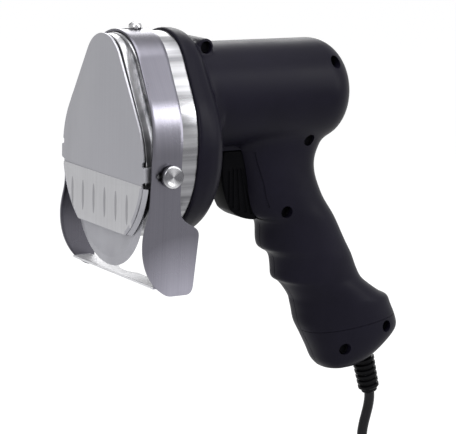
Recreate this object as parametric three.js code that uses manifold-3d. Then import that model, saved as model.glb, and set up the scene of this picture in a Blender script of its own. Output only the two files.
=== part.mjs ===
// Hand-held electric kebab slicer: a pistol-grip motor body, an egg-shaped gear head, a round blade
// behind a cover plate, and a sliding guard that sets the thickness of the slice.
// Millimetres, +Z up, nose towards -X, left side of the tool towards -Y.
// Pieces are placed from the front face of the bell, and the whole is moved to put the origin in the grip.
import * as THREE from 'three';
import { mergeVertices } from 'three/addons/utils/BufferGeometryUtils.js';
import Module from 'manifold-3d';

const wasm = await Module();
wasm.setup();

// Clearances
const GAP = 0.3; // between pieces that seat on each other
const RUN = 0.4; // round turning and sliding pieces

// Middle of the hand grip, from the bell's front face
const GRIP_X = 105;
const GRIP_Z = -65;

// Gear head: a skin drawn tight round a large lower circle at z = 0 and a smaller crown circle
const HEAD_R = 50;
const HEAD_CROWN_Z = 31.5;
const HEAD_CROWN_R = 31.5;
const SLANT = 0.089; // above z = 0 the edges of the guard and the bell lean back by this slope
const HEAD_DEPTH = 24;
const HEAD_WALL = 4;
const HEAD_SEAT = 9; // depth of the head's rear rim inside the bell
const RIM_R = 45;
const RIM_Z = -6;
const RIM_TOP_R = 20.8;
const RIM_TOP_Z = 41.5;
const RIM_WALL = 2.5;
const RIM_HEIGHT = 4;
const RIM_END_Z = -16; // the rim is open below this height

// Gears
const MODULE = 1;
const PINION_TEETH = 12;
const IDLER_TEETH = 28;
const GEAR_TEETH = 35;
const BACKLASH = 0.5;
const GEAR_WIDTH = 7;
const GEAR_X = -12;
const MOTOR_Z = 26;
const IDLER_Z = MOTOR_Z - (MODULE * (PINION_TEETH + IDLER_TEETH)) / 2;
const BLADE_Z = IDLER_Z - (MODULE * (IDLER_TEETH + GEAR_TEETH)) / 2;
const GEAR_PLATE_T = 4;

// Blade, its spindle and the cover plate
const BLADE_R = 40;
const BLADE_T = 1.2;
const BLADE_BEVEL = 4;
const BLADE_STANDOFF = 2; // from the head's front face to the blade's back
const SPINDLE_R = 4;
const FLANGE_R = 9;
const NUT_R = 8;
const NUT_T = 2;
const SPINDLE_BEARING_R = 9;
const SPINDLE_BEARING_L = 8;
const REAR_BEARING_R = 7;
const COVER_T = 1.2;
const COVER_STANDOFF = 1.8; // from the rim to the cover's back
const COVER_R = 47;
const COVER_Z = -6;
const COVER_TOP_R = 21.3;
const COVER_TOP_Z = 41.5;
const COVER_END_Z = -44;
const COVER_FOLD_Z = -13;
const COVER_RIBS = 7;
const RIB_PITCH = 10.4;
const RIB_W = 3.4;
const RIB_H = 0.9;
const EAR_OUT = 1.2; // how far the ears stand out past the cover's round
const EAR_REACH = COVER_R + EAR_OUT;
const EAR_LOW_Z = -12.4;
const EAR_HIGH_Z = -3.9;

// Thickness guard: a sheet arch over the head with side plates and a bottom bar
const GUARD_T = 1.2;
const GUARD_CLEAR = 0.5;
const GUARD_X0 = -28;
const GUARD_X1 = -10;
const GUARD_FOOT_HALF = 47.3; // half width outside, at the plates' lower edge
const GUARD_FOOT_Z = -75.5;
const BAR_Z = -70;
const BAR_X0 = -24;
const BAR_X1 = -13;
const BAR_NOTCH_R = 22;
const BAR_NOTCH_DEPTH = 3.5;
const GUARD_FORWARD = 2.6;
const GUARD_BACK = 5.4;
const SCREW_X = -17;
const SCREW_Z = -9;
const THUMB_R = 6.2;
const THUMB_T = 3.6;
const THUMB_SHANK_R = 2;
const TOP_HEAD_R = 3.6;
const TOP_HEAD_T = 3;

// Motor
const MOTOR_R = 23.5;
const MOTOR_WALL = 2;
const MOTOR_L = 74.6;
const MOTOR_NOSE_T = 5;
const SHAFT_R = 3;
const CORE_X0 = 24;
const CORE_X1 = 70;
const MAGNET_T = 2.4;
const AIR_GAP = 1; // between the magnets and the armature
const CORE_R = MOTOR_R - MOTOR_WALL - GAP - MAGNET_T - AIR_GAP;
const FAN_CLEAR = 3.5; // from the fan's edge to the can
const FAN_R = MOTOR_R - MOTOR_WALL - FAN_CLEAR;
const FAN_X = 16;
const FAN_W = 6;
const COMMUTATOR_R = 9;
const BRUSH_X = 85.8;
const BRUSH_W = 5;
const END_BELL_STEP = 2;
const END_BELL_R = MOTOR_R - END_BELL_STEP;
const END_BELL_L = 12;
const FRONT_BEARING_R = 8;
const BACK_BEARING_R = 6;

// Body shell
const WALL = 3;
const BELL_RIM = 1.8;
const BELL_L = 13;
const NECK_X = 22;
const BARREL_R = 30;
const BARREL_X1 = 120.3;
const BARREL_ROUND = 19;
const GRIP_HALF_W = 18.5;
const SEAM_X = 120;
const SEAM_Z = -115;
const SEAM_SLOPE = 0.12;
const SEAM_LIP = 6;
const SCREW_HEAD_R = 3;
const SCREW_R = 1.5;
const COUNTERBORE_R = 3.5;
const BOSS_R = 4.5;
const TRIGGER_HALF_W = 8;
const TRIGGER_TRAVEL = 5;
const TRIGGER_BACK_X = 65;
const TRIGGER_FRONT_X = 42;
const TRIGGER_TOP_Z = -5.6;
const TRIGGER_TOE_X = 47.5;
const TRIGGER_TOE_Z = -39.5;
const TRIGGER_LOW_Z = -46.4;
const SWITCH_L = 22;
const SWITCH_H = 20;
const SWITCH_TOP_Z = -15;

// Cord and its strain relief
const RELIEF_R = 6.8;
const RELIEF_NECK_R = 5.2;
const RELIEF_NECK_L = 6;
const RELIEF_FLANGE_R = 7.2;
const CORD_D = 6.2;
const COIL_R = 48.5;
const COIL_PITCH = 6.7;
const COIL_TURNS_IN = 3.25;
const COIL_TURNS_OUT = 3.5;
const COIL_STEPS = 24;
const COIL_TAIL = 42;
const TIE_T = 1.2;
const TIE_W = 6;
const PLUG_L = 40;
const PIN_R = 2.2;
const PIN_L = 19;
const PIN_SPACING = 19;

const HEAD_FRONT_X = -HEAD_DEPTH;
const HEAD_BACK_X = HEAD_SEAT;
const RIM_FRONT_X = HEAD_FRONT_X - RIM_HEIGHT;
const COVER_BACK_X = RIM_FRONT_X - COVER_STANDOFF;
const COVER_X = COVER_BACK_X - COVER_T;
const BLADE_BACK_X = HEAD_FRONT_X - BLADE_STANDOFF;
const BLADE_X = BLADE_BACK_X - BLADE_T;
const PLATE_X0 = HEAD_BACK_X - GEAR_PLATE_T;
const MOTOR_X0 = HEAD_BACK_X + RUN;
const MOTOR_X1 = MOTOR_X0 + MOTOR_L;
const GUARD_R = HEAD_R + GUARD_CLEAR + GUARD_T;
const HEAD_TOP = HEAD_CROWN_Z + HEAD_CROWN_R;
const GUARD_TOP = HEAD_TOP + GUARD_CLEAR + GUARD_T;
const TOP_SCREW_X = SCREW_X + SLANT * HEAD_TOP;

const material = (color, roughness, metalness) => () =>
  new THREE.MeshStandardMaterial({ color, roughness, metalness });
const blackPlastic = material(0x23222b, 0.55, 0);
const darkPlastic = material(0x131318, 0.6, 0);
const sheetSteel = material(0x9c9ca3, 0.3, 1);
const bladeSteel = material(0xa6a6ae, 0.2, 1);
const castAluminium = material(0xd2d2d6, 0.35, 1);
const machinedSteel = material(0x8a8b90, 0.35, 1);
const copper = material(0xb5713f, 0.35, 1);
const carbon = material(0x2b2b2d, 0.7, 0);
const brassPin = material(0xc9b37a, 0.3, 1);
const cordJacket = material(0x18181c, 0.5, 0);

const body = new THREE.Group();
body.position.set(-GRIP_X, 0, -GRIP_Z);

// A closed geometry as a solid that can be joined and cut
function solid(geometry) {
  const bare = geometry.clone();
  for (const name of Object.keys(bare.attributes)) {
    if (name !== 'position') {
      bare.deleteAttribute(name);
    }
  }
  const merged = mergeVertices(bare, 1e-4);
  const mesh = new wasm.Mesh({
    numProp: 3,
    vertProperties: Float32Array.from(merged.attributes.position.array),
    triVerts: Uint32Array.from(merged.index.array),
  });
  mesh.merge();
  return new wasm.Manifold(mesh);
}

function geometryOf(shape) {
  const mesh = shape.getMesh();
  const geometry = new THREE.BufferGeometry();
  geometry.setAttribute('position', new THREE.BufferAttribute(Float32Array.from(mesh.vertProperties), 3));
  geometry.setIndex(Array.from(mesh.triVerts));
  return geometry;
}

function piece(name, shape, finish) {
  const geometry = shape.isBufferGeometry ? shape : geometryOf(shape);
  const mesh = new THREE.Mesh(geometry, finish());
  mesh.name = name;
  body.add(mesh);
  return mesh;
}

const union = (first, ...rest) => rest.reduce((sum, next) => sum.add(next), first);

function box(x0, x1, y0, y1, z0, z1) {
  const geometry = new THREE.BoxGeometry(x1 - x0, y1 - y0, z1 - z0);
  geometry.translate((x0 + x1) / 2, (y0 + y1) / 2, (z0 + z1) / 2);
  return solid(geometry);
}

const TO_X = new THREE.Matrix4().makeBasis(
  new THREE.Vector3(0, 1, 0),
  new THREE.Vector3(0, 0, 1),
  new THREE.Vector3(1, 0, 0),
);
const TO_Y = new THREE.Matrix4().makeBasis(
  new THREE.Vector3(1, 0, 0),
  new THREE.Vector3(0, 0, 1),
  new THREE.Vector3(0, -1, 0),
);

// An outline in (y, z), swept from x0 to x1
function sweepX(outline, x0, x1, curveSegments = 10) {
  const geometry = new THREE.ExtrudeGeometry(outline, { depth: x1 - x0, bevelEnabled: false, curveSegments });
  geometry.applyMatrix4(TO_X);
  geometry.translate(x0, 0, 0);
  return solid(geometry);
}

// An outline in (x, z), swept from y0 to y1
function sweepY(outline, y0, y1, curveSegments = 6) {
  const geometry = new THREE.ExtrudeGeometry(outline, { depth: y1 - y0, bevelEnabled: false, curveSegments });
  geometry.applyMatrix4(TO_Y);
  geometry.translate(0, y1, 0);
  return solid(geometry);
}

// A profile of [x, radius] pairs, turned about a line along X at height z
function turnX(profile, z, sides = 20) {
  const points = profile.map(([x, r]) => new THREE.Vector2(r, x));
  const geometry = new THREE.LatheGeometry(points, sides);
  geometry.rotateZ(-Math.PI / 2);
  geometry.translate(0, 0, z);
  return upright(solid(geometry));
}

// A turned or lofted solid whose faces point inwards is built again with its triangles reversed
function upright(shape) {
  if (shape.volume() > 0) {
    return shape;
  }
  const mesh = shape.getMesh();
  const flipped = mesh.triVerts.slice();
  for (let i = 0; i < flipped.length; i += 3) {
    [flipped[i], flipped[i + 1]] = [flipped[i + 1], flipped[i]];
  }
  return new wasm.Manifold(new wasm.Mesh({ numProp: 3, vertProperties: mesh.vertProperties, triVerts: flipped }));
}

const rodX = (r, x0, x1, z, sides = 20) =>
  turnX([[x0, 0], [x0, r], [x1, r], [x1, 0]], z, sides);

function rodY(r, y0, y1, x, z, sides = 16) {
  const geometry = new THREE.CylinderGeometry(r, r, y1 - y0, sides);
  geometry.translate(x, (y0 + y1) / 2, z);
  return solid(geometry);
}

function rodZ(r, z0, z1, x, y, sides = 16) {
  const geometry = new THREE.CylinderGeometry(r, r, z1 - z0, sides);
  geometry.rotateX(Math.PI / 2);
  geometry.translate(x, y, (z0 + z1) / 2);
  return solid(geometry);
}

const ringX = (outer, inner, x0, x1, z, sides = 20) =>
  turnX([[x0, inner], [x0, outer], [x1, outer], [x1, inner], [x0, inner]], z, sides);

// The hull of a lower circle and an upper circle on the middle plane
function egg(r, z, topR, topZ) {
  const lean = Math.asin((r - topR) / (topZ - z));
  const outline = new THREE.Shape();
  outline.absarc(0, topZ, topR, lean, Math.PI - lean, false);
  outline.absarc(0, z, r, Math.PI - lean, 2 * Math.PI + lean, false);
  return outline;
}

const HEAD_ROUNDS = [
  [0, 0, HEAD_R],
  [0, HEAD_CROWN_Z, HEAD_CROWN_R],
];
const HEAD_SIDES = 40;

// Points [y, z] of the tight skin round some circles [y, z, radius], each circle grown alike
function skin(rounds, grow) {
  const points = [];
  for (let i = 0; i < HEAD_SIDES; i += 1) {
    const angle = (2 * Math.PI * i) / HEAD_SIDES;
    const [c, s] = [Math.cos(angle), Math.sin(angle)];
    const reach = rounds.map(([y, z, r]) => y * c + z * s + r);
    const [y, z, r] = rounds[reach.indexOf(Math.max(...reach))];
    points.push([y + (r + grow) * c, z + (r + grow) * s]);
  }
  return points;
}

const outlineOf = (points) => new THREE.Shape(points.map(([y, z]) => new THREE.Vector2(y, z)));
const headOutline = (grow) => outlineOf(skin(HEAD_ROUNDS, grow));

// Rings of equal point count, joined into a closed skin with flat ends
function loft(rings) {
  const count = rings[0].length;
  const points = rings.flat();
  const index = [];
  for (let i = 0; i + 1 < rings.length; i += 1) {
    for (let j = 0; j < count; j += 1) {
      const a = i * count + j;
      const b = i * count + ((j + 1) % count);
      index.push(a, b, a + count, b, b + count, a + count);
    }
  }
  for (const [start, turned] of [[0, true], [(rings.length - 1) * count, false]]) {
    const middle = new THREE.Vector3();
    for (let j = 0; j < count; j += 1) {
      middle.addScaledVector(points[start + j], 1 / count);
    }
    points.push(middle);
    for (let j = 0; j < count; j += 1) {
      const a = start + j;
      const b = start + ((j + 1) % count);
      index.push(...(turned ? [b, a, points.length - 1] : [a, b, points.length - 1]));
    }
  }
  const geometry = new THREE.BufferGeometry().setFromPoints(points);
  geometry.setIndex(index);
  return upright(solid(geometry));
}

// A gear blank with straight-sided teeth; one tooth points at the angle phase
function gear(teeth, phase, boreR, z) {
  const pitchR = (MODULE * teeth) / 2;
  const tipR = pitchR + 0.8 * MODULE;
  const rootR = pitchR - 1.15 * MODULE;
  const half = (Math.PI * MODULE) / 4 - BACKLASH / 2;
  const flank = Math.tan(THREE.MathUtils.degToRad(24));
  const outline = new THREE.Shape();
  for (let i = 0; i < teeth; i += 1) {
    const middle = phase + (2 * Math.PI * i) / teeth;
    for (const [r, side] of [[rootR, -1], [tipR, -1], [tipR, 1], [rootR, 1]]) {
      const angle = middle + (side * (half - (r - pitchR) * flank)) / pitchR;
      const point = [r * Math.cos(angle), r * Math.sin(angle)];
      if (i === 0 && r === rootR && side === -1) {
        outline.moveTo(...point);
      } else {
        outline.lineTo(...point);
      }
    }
  }
  outline.closePath();
  const bore = new THREE.Path();
  bore.absarc(0, 0, boreR, 0, 2 * Math.PI, true);
  outline.holes.push(bore);
  return sweepX(outline, GEAR_X, GEAR_X + GEAR_WIDTH, 8).translate([0, 0, z]);
}

function gearHead() {
  const bearingBack = HEAD_FRONT_X + 1.5 + SPINDLE_BEARING_L;
  const shell = sweepX(headOutline(0), HEAD_FRONT_X, HEAD_BACK_X)
    .subtract(sweepX(headOutline(-HEAD_WALL), HEAD_FRONT_X + HEAD_WALL, HEAD_BACK_X + 1));
  const rim = sweepX(egg(RIM_R, RIM_Z, RIM_TOP_R, RIM_TOP_Z), RIM_FRONT_X, HEAD_FRONT_X + 1)
    .subtract(sweepX(egg(RIM_R - RIM_WALL, RIM_Z, RIM_TOP_R - RIM_WALL, RIM_TOP_Z), RIM_FRONT_X - 1, HEAD_FRONT_X))
    .subtract(box(RIM_FRONT_X - 1, HEAD_FRONT_X, -RIM_R - 1, RIM_R + 1, RIM_Z - RIM_R - 1, RIM_END_Z));
  const hub = rodX(SPINDLE_BEARING_R + 3, HEAD_FRONT_X + 1, bearingBack, BLADE_Z);
  let head = union(shell, rim, hub)
    .subtract(rodX(SPINDLE_R + 1, HEAD_FRONT_X - 1, HEAD_FRONT_X + 3, BLADE_Z))
    .subtract(rodX(SPINDLE_BEARING_R + GAP, HEAD_FRONT_X + 1.5, bearingBack + 1, BLADE_Z));
  const reach = HEAD_R + 1;
  head = head
    .subtract(rodY(THUMB_SHANK_R + GAP, -reach, reach, SCREW_X, SCREW_Z))
    .subtract(rodZ(THUMB_SHANK_R + GAP, HEAD_CROWN_Z, HEAD_TOP + 1, TOP_SCREW_X, 0));
  piece('gear_head', head, castAluminium);
  piece('spindle_bearing_front',
    ringX(SPINDLE_BEARING_R, SPINDLE_R + GAP, HEAD_FRONT_X + 1.5 + GAP, bearingBack, BLADE_Z), machinedSteel);
}

function gearPlate() {
  const plate = sweepX(headOutline(-HEAD_WALL - GAP), PLATE_X0, HEAD_BACK_X)
    .subtract(rodX(REAR_BEARING_R + GAP, PLATE_X0 - 1, HEAD_BACK_X + 1, BLADE_Z))
    .subtract(rodX(SPINDLE_R + GAP, PLATE_X0 - 1, HEAD_BACK_X + 1, IDLER_Z))
    .subtract(rodX(SHAFT_R + 3, PLATE_X0 - 1, HEAD_BACK_X + 1, MOTOR_Z));
  piece('gear_plate', plate, castAluminium);
  piece('spindle_bearing_rear', ringX(REAR_BEARING_R, SPINDLE_R + GAP, PLATE_X0, HEAD_BACK_X, BLADE_Z), machinedSteel);
  const headX = GEAR_X - RUN;
  const idlerPin = [[headX - 1.6, 0], [headX - 1.6, SPINDLE_R + 2.5], [headX, SPINDLE_R + 2.5], [headX, SPINDLE_R],
    [HEAD_BACK_X - GAP, SPINDLE_R], [HEAD_BACK_X - GAP, 0]];
  piece('idler_pin', turnX(idlerPin, IDLER_Z), machinedSteel);
}

function gearTrain() {
  const up = Math.PI / 2;
  piece('spindle_gear', gear(GEAR_TEETH, up + Math.PI / GEAR_TEETH, SPINDLE_R + GAP, BLADE_Z), machinedSteel);
  piece('idler_gear', gear(IDLER_TEETH, up, SPINDLE_R + GAP, IDLER_Z), machinedSteel);
  piece('motor_pinion', gear(PINION_TEETH, up + Math.PI / PINION_TEETH, SHAFT_R + GAP, MOTOR_Z), machinedSteel);
}

function bladeUnit() {
  const nutX = BLADE_X - GAP - NUT_T;
  const flangeX = BLADE_BACK_X + GAP;
  const spindle = [[nutX, 0], [nutX, SPINDLE_R], [flangeX, SPINDLE_R], [flangeX, FLANGE_R],
    [HEAD_FRONT_X - RUN, FLANGE_R], [HEAD_FRONT_X - RUN, SPINDLE_R], [HEAD_BACK_X - GAP, SPINDLE_R], [HEAD_BACK_X - GAP, 0]];
  piece('spindle', turnX(spindle, BLADE_Z), machinedSteel);
  const bore = SPINDLE_R + GAP;
  const disc = [[BLADE_X, bore], [BLADE_X, BLADE_R - BLADE_BEVEL], [BLADE_BACK_X - 0.2, BLADE_R],
    [BLADE_BACK_X, BLADE_R], [BLADE_BACK_X, bore], [BLADE_X, bore]];
  piece('blade', turnX(disc, BLADE_Z, 48), bladeSteel);
  const flats = new THREE.Shape();
  for (let i = 0; i < 6; i += 1) {
    const angle = (i * Math.PI) / 3;
    flats[i ? 'lineTo' : 'moveTo'](NUT_R * Math.cos(angle), NUT_R * Math.sin(angle));
  }
  flats.closePath();
  const nut = sweepX(flats, nutX, nutX + NUT_T).translate([0, 0, BLADE_Z]).subtract(rodX(bore, nutX - 1, nutX + NUT_T + 1, BLADE_Z));
  piece('blade_nut', nut, machinedSteel);
}

function coverPlate() {
  const outline = egg(COVER_R, COVER_Z, COVER_TOP_R, COVER_TOP_Z);
  const keep = box(COVER_X - 5, HEAD_FRONT_X, -COVER_R - 5, COVER_R + 5, COVER_END_Z, COVER_TOP_Z + COVER_TOP_R + 1);
  let plate = sweepX(outline, COVER_X, COVER_BACK_X, 16);
  const panel = sweepX(outline, COVER_X - RIB_H / 2, COVER_X + 0.5, 16)
    .intersect(box(COVER_X - 5, HEAD_FRONT_X, -COVER_R, COVER_R, COVER_END_Z - 1, COVER_FOLD_Z));
  plate = plate.add(panel).intersect(keep);
  for (let i = 0; i < COVER_RIBS; i += 1) {
    const y = (i - (COVER_RIBS - 1) / 2) * RIB_PITCH;
    const low = Math.max(COVER_END_Z, COVER_Z - Math.sqrt(COVER_R ** 2 - y ** 2)) + 3;
    plate = plate.add(box(COVER_X - RIB_H, COVER_X + 0.5, y - RIB_W / 2, y + RIB_W / 2, low, COVER_FOLD_Z - 4));
  }
  for (const side of [-1, 1]) {
    const inner = side * (COVER_R - 3);
    const outer = side * EAR_REACH;
    const hook = side * (EAR_REACH - COVER_T);
    const [e0, e1] = [Math.min(inner, outer), Math.max(inner, outer)];
    const [h0, h1] = [Math.min(hook, outer), Math.max(hook, outer)];
    plate = plate
      .add(box(COVER_X, COVER_BACK_X, e0, e1, EAR_LOW_Z, EAR_HIGH_Z))
      .add(box(COVER_X, HEAD_FRONT_X - GAP, h0, h1, EAR_LOW_Z, EAR_HIGH_Z));
  }
  piece('cover_plate', plate, sheetSteel);
}

// The guard's section in (y, z): a skin over the head, then sides that draw in towards the foot
function guardSection(inset) {
  const over = skin(HEAD_ROUNDS, GUARD_CLEAR + GUARD_T - inset).slice(0, HEAD_SIDES / 2 + 1);
  const foot = GUARD_FOOT_HALF - inset;
  const low = GUARD_FOOT_Z - 1;
  return outlineOf([[foot, low], ...over, [-foot, low]]);
}

// The side plate's outline in (x, z): it bulges forwards at the foot, and the left one has a thumb tab behind
function guardSide(tab) {
  const top = GUARD_TOP + 1;
  const bulge = GUARD_X0 - 3.6;
  const outline = new THREE.Shape();
  outline.moveTo(GUARD_X0 + SLANT * top, top);
  outline.lineTo(GUARD_X0, 0);
  outline.lineTo(GUARD_X0, -22);
  outline.bezierCurveTo(GUARD_X0, -32, bulge, -35, bulge, -46);
  outline.bezierCurveTo(bulge, -58, -26.5, -68, -19, -73);
  outline.bezierCurveTo(-17, -74.5, -15.5, GUARD_FOOT_Z, -12.5, GUARD_FOOT_Z);
  if (tab) {
    outline.lineTo(-4, GUARD_FOOT_Z);
    outline.bezierCurveTo(-1.5, GUARD_FOOT_Z, 0, -74, 0.4, -71);
    outline.lineTo(2.6, -43.5);
    outline.bezierCurveTo(2.7, -40.5, 1.5, -39, -1, -37.6);
    outline.bezierCurveTo(-4, -36, -7, -35, -9, -31);
  } else {
    outline.lineTo(GUARD_X1 - 0.5, -71);
    outline.lineTo(GUARD_X1 + 0.4, -31);
  }
  outline.bezierCurveTo(-9.6, -26, GUARD_X1, -24, GUARD_X1, -20);
  outline.lineTo(GUARD_X1, 0);
  outline.lineTo(GUARD_X1 + SLANT * top, top);
  outline.closePath();
  return outline;
}

function guard() {
  const x0 = GUARD_X0 - 8;
  const x1 = 6;
  const sheet = sweepX(guardSection(0), x0, x1).subtract(sweepX(guardSection(GUARD_T), x0 - 1, x1 + 1));
  const half = GUARD_R + 5;
  const sides = sweepY(guardSide(true), -half, 0).add(sweepY(guardSide(false), 0, half));
  const barHalf = THREE.MathUtils.mapLinear(BAR_Z, 0, GUARD_FOOT_Z - 1, GUARD_R, GUARD_FOOT_HALF) - GUARD_T / 2;
  const notch = rodZ(BAR_NOTCH_R, BAR_Z - 2, BAR_Z + 2, BAR_X1 + BAR_NOTCH_R - BAR_NOTCH_DEPTH, 0, 48);
  const bar = box(BAR_X0, BAR_X1, -barHalf, barHalf, BAR_Z - GUARD_T / 2, BAR_Z + GUARD_T / 2).subtract(notch);
  let strap = sheet.intersect(sides).add(bar);
  const slotR = THUMB_SHANK_R + GAP;
  const [slot0, slot1] = [SCREW_X - GUARD_BACK, SCREW_X + GUARD_FORWARD];
  strap = strap
    .subtract(rodY(slotR, -half, half, slot0, SCREW_Z))
    .subtract(rodY(slotR, -half, half, slot1, SCREW_Z))
    .subtract(box(slot0, slot1, -half, half, SCREW_Z - slotR, SCREW_Z + slotR));
  const crown = GUARD_TOP;
  const lean = TOP_SCREW_X - SCREW_X;
  strap = strap
    .subtract(rodZ(slotR, crown - 5, crown + 1, slot0 + lean, 0))
    .subtract(rodZ(slotR, crown - 5, crown + 1, slot1 + lean, 0))
    .subtract(box(slot0 + lean, slot1 + lean, -slotR, slotR, crown - 5, crown + 1));
  piece('thickness_guard', strap, sheetSteel);
}

function thumbScrews() {
  const seat = GUARD_R + RUN;
  const tip = Math.sqrt(HEAD_R ** 2 - SCREW_Z ** 2) - HEAD_WALL;
  const profile = [[0, tip], [THUMB_SHANK_R, tip], [THUMB_SHANK_R, seat], [THUMB_R - 0.6, seat], [THUMB_R, seat + 0.6],
    [THUMB_R, seat + THUMB_T - 1], [THUMB_R - 1, seat + THUMB_T], [3.4, seat + THUMB_T], [2.8, seat + THUMB_T - 0.8],
    [0, seat + THUMB_T - 0.8]];
  for (const [name, side] of [['thumb_screw_left', -1], ['thumb_screw_right', 1]]) {
    const geometry = new THREE.LatheGeometry(profile.map(([r, h]) => new THREE.Vector2(r, h)), 18);
    if (side < 0) {
      geometry.rotateZ(Math.PI);
    }
    geometry.translate(SCREW_X, 0, SCREW_Z);
    piece(name, upright(solid(geometry)), machinedSteel);
  }
  const crown = GUARD_TOP + RUN;
  const end = HEAD_TOP - HEAD_WALL;
  const headProfile = [[0, end], [THUMB_SHANK_R, end], [THUMB_SHANK_R, crown], [TOP_HEAD_R, crown],
    [TOP_HEAD_R, crown + TOP_HEAD_T - 1.2], [TOP_HEAD_R - 1.2, crown + TOP_HEAD_T], [0, crown + TOP_HEAD_T]];
  const top = new THREE.LatheGeometry(headProfile.map(([r, h]) => new THREE.Vector2(r, h)), 16);
  top.rotateX(Math.PI / 2);
  top.translate(TOP_SCREW_X, 0, 0);
  piece('guard_top_screw', upright(solid(top)), machinedSteel);
}

function motor() {
  const noseX = MOTOR_X0 + MOTOR_NOSE_T;
  const can = rodX(MOTOR_R, MOTOR_X0, MOTOR_X1, MOTOR_Z, 30)
    .subtract(rodX(MOTOR_R - MOTOR_WALL, noseX, MOTOR_X1 + 1, MOTOR_Z, 30))
    .subtract(rodX(FRONT_BEARING_R + GAP, MOTOR_X0 - 1, noseX + 1, MOTOR_Z));
  piece('motor_can', can, machinedSteel);
  piece('motor_bearing_front', ringX(FRONT_BEARING_R, SHAFT_R + GAP, MOTOR_X0, noseX, MOTOR_Z), machinedSteel);

  const magnetOut = MOTOR_R - MOTOR_WALL - GAP;
  const magnets = ringX(magnetOut, magnetOut - MAGNET_T, CORE_X0, CORE_X1, MOTOR_Z, 30);
  const cut = 6;
  piece('magnet_upper', magnets.intersect(box(CORE_X0 - 1, CORE_X1 + 1, -MOTOR_R, MOTOR_R, MOTOR_Z + cut, MOTOR_Z + MOTOR_R)), carbon);
  piece('magnet_lower', magnets.intersect(box(CORE_X0 - 1, CORE_X1 + 1, -MOTOR_R, MOTOR_R, MOTOR_Z - MOTOR_R, MOTOR_Z - cut)), carbon);

  const bellX1 = MOTOR_X1 + GAP + END_BELL_L;
  const bearingX0 = bellX1 - 4;
  const brushHalf = BRUSH_W / 2 + GAP;
  const endBell = rodX(END_BELL_R, MOTOR_X1 + GAP, bellX1, MOTOR_Z, 30)
    .subtract(rodX(COMMUTATOR_R + 1.5, MOTOR_X1, bearingX0 - 0.5, MOTOR_Z))
    .subtract(rodX(BACK_BEARING_R + GAP, bearingX0 - 1, bellX1 + 1, MOTOR_Z))
    .subtract(box(BRUSH_X - GAP, BRUSH_X + BRUSH_W + GAP, -END_BELL_R, END_BELL_R, MOTOR_Z - brushHalf, MOTOR_Z + brushHalf));
  piece('motor_end_bell', endBell, darkPlastic);
  piece('motor_bearing_rear', ringX(BACK_BEARING_R, SHAFT_R + GAP, bearingX0, bellX1, MOTOR_Z), machinedSteel);
  for (const [name, side] of [['brush_left', -1], ['brush_right', 1]]) {
    const near = side * (COMMUTATOR_R + RUN);
    const far = side * (END_BELL_R - 2);
    piece(name, box(BRUSH_X, BRUSH_X + BRUSH_W, Math.min(near, far), Math.max(near, far),
      MOTOR_Z - BRUSH_W / 2, MOTOR_Z + BRUSH_W / 2), carbon);
  }

  piece('motor_shaft', rodX(SHAFT_R, GEAR_X - 1, bellX1 + 1, MOTOR_Z, 24), machinedSteel);
  const bore = SHAFT_R + GAP;
  piece('armature', ringX(CORE_R, bore, CORE_X0, CORE_X1, MOTOR_Z, 24), copper);
  piece('commutator', ringX(COMMUTATOR_R, bore, CORE_X1 + 3, bearingX0 - 1, MOTOR_Z, 20), copper);
  let fan = ringX(FAN_R * 0.45, bore, FAN_X, FAN_X + FAN_W, MOTOR_Z).add(ringX(FAN_R, bore + 1, FAN_X, FAN_X + 1.4, MOTOR_Z));
  const vanes = 6;
  for (let i = 0; i < vanes; i += 1) {
    const vane = new THREE.BoxGeometry(FAN_W - 0.2, 1.4, FAN_R * 0.56);
    vane.translate(FAN_X + FAN_W / 2, 0, FAN_R * 0.7);
    vane.rotateX((2 * Math.PI * i) / vanes);
    vane.translate(0, 0, MOTOR_Z);
    fan = fan.add(solid(vane));
  }
  piece('cooling_fan', fan, darkPlastic);
}

// Bell and neck: rings of the head outline that round over into the barrel
function bellOutside() {
  const lean = (x, z) => x + SLANT * Math.max(z, 0) * Math.max(1 - x / NECK_X, 0);
  const ring = (x, rounds, grow) => skin(rounds, grow).map(([y, z]) => new THREE.Vector3(lean(x, z), y, z));
  const rounds = [[0, -0.8], [0.8, 0], [BELL_L - 5, -0.3], [BELL_L, -1.4], [BELL_L + 3, -3.2], [BELL_L + 5.5, -6], [BELL_L + 7.5, -9.5]];
  const rings = rounds.map(([x, less]) => ring(x, HEAD_ROUNDS, BELL_RIM + less));
  rings.push(ring(NECK_X, [[0, MOTOR_Z - 14, BARREL_R + 2], [0, MOTOR_Z, BARREL_R]], 0));
  rings.push(ring(NECK_X + 7, [[0, MOTOR_Z - 4, BARREL_R], [0, MOTOR_Z, BARREL_R]], 0));
  return loft(rings);
}

function barrel(inset, x0) {
  const r = BARREL_R - inset;
  const end = BARREL_X1 - inset;
  const round = BARREL_ROUND - inset / 2;
  const profile = [[x0, 0], [x0, r]];
  for (let i = 0; i <= 6; i += 1) {
    const angle = (Math.PI / 2) * (i / 6);
    profile.push([end - round + round * Math.sin(angle), r - round + round * Math.cos(angle)]);
  }
  profile.push([end, 0]);
  return turnX(profile, MOTOR_Z, inset ? 20 : 32);
}

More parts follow.
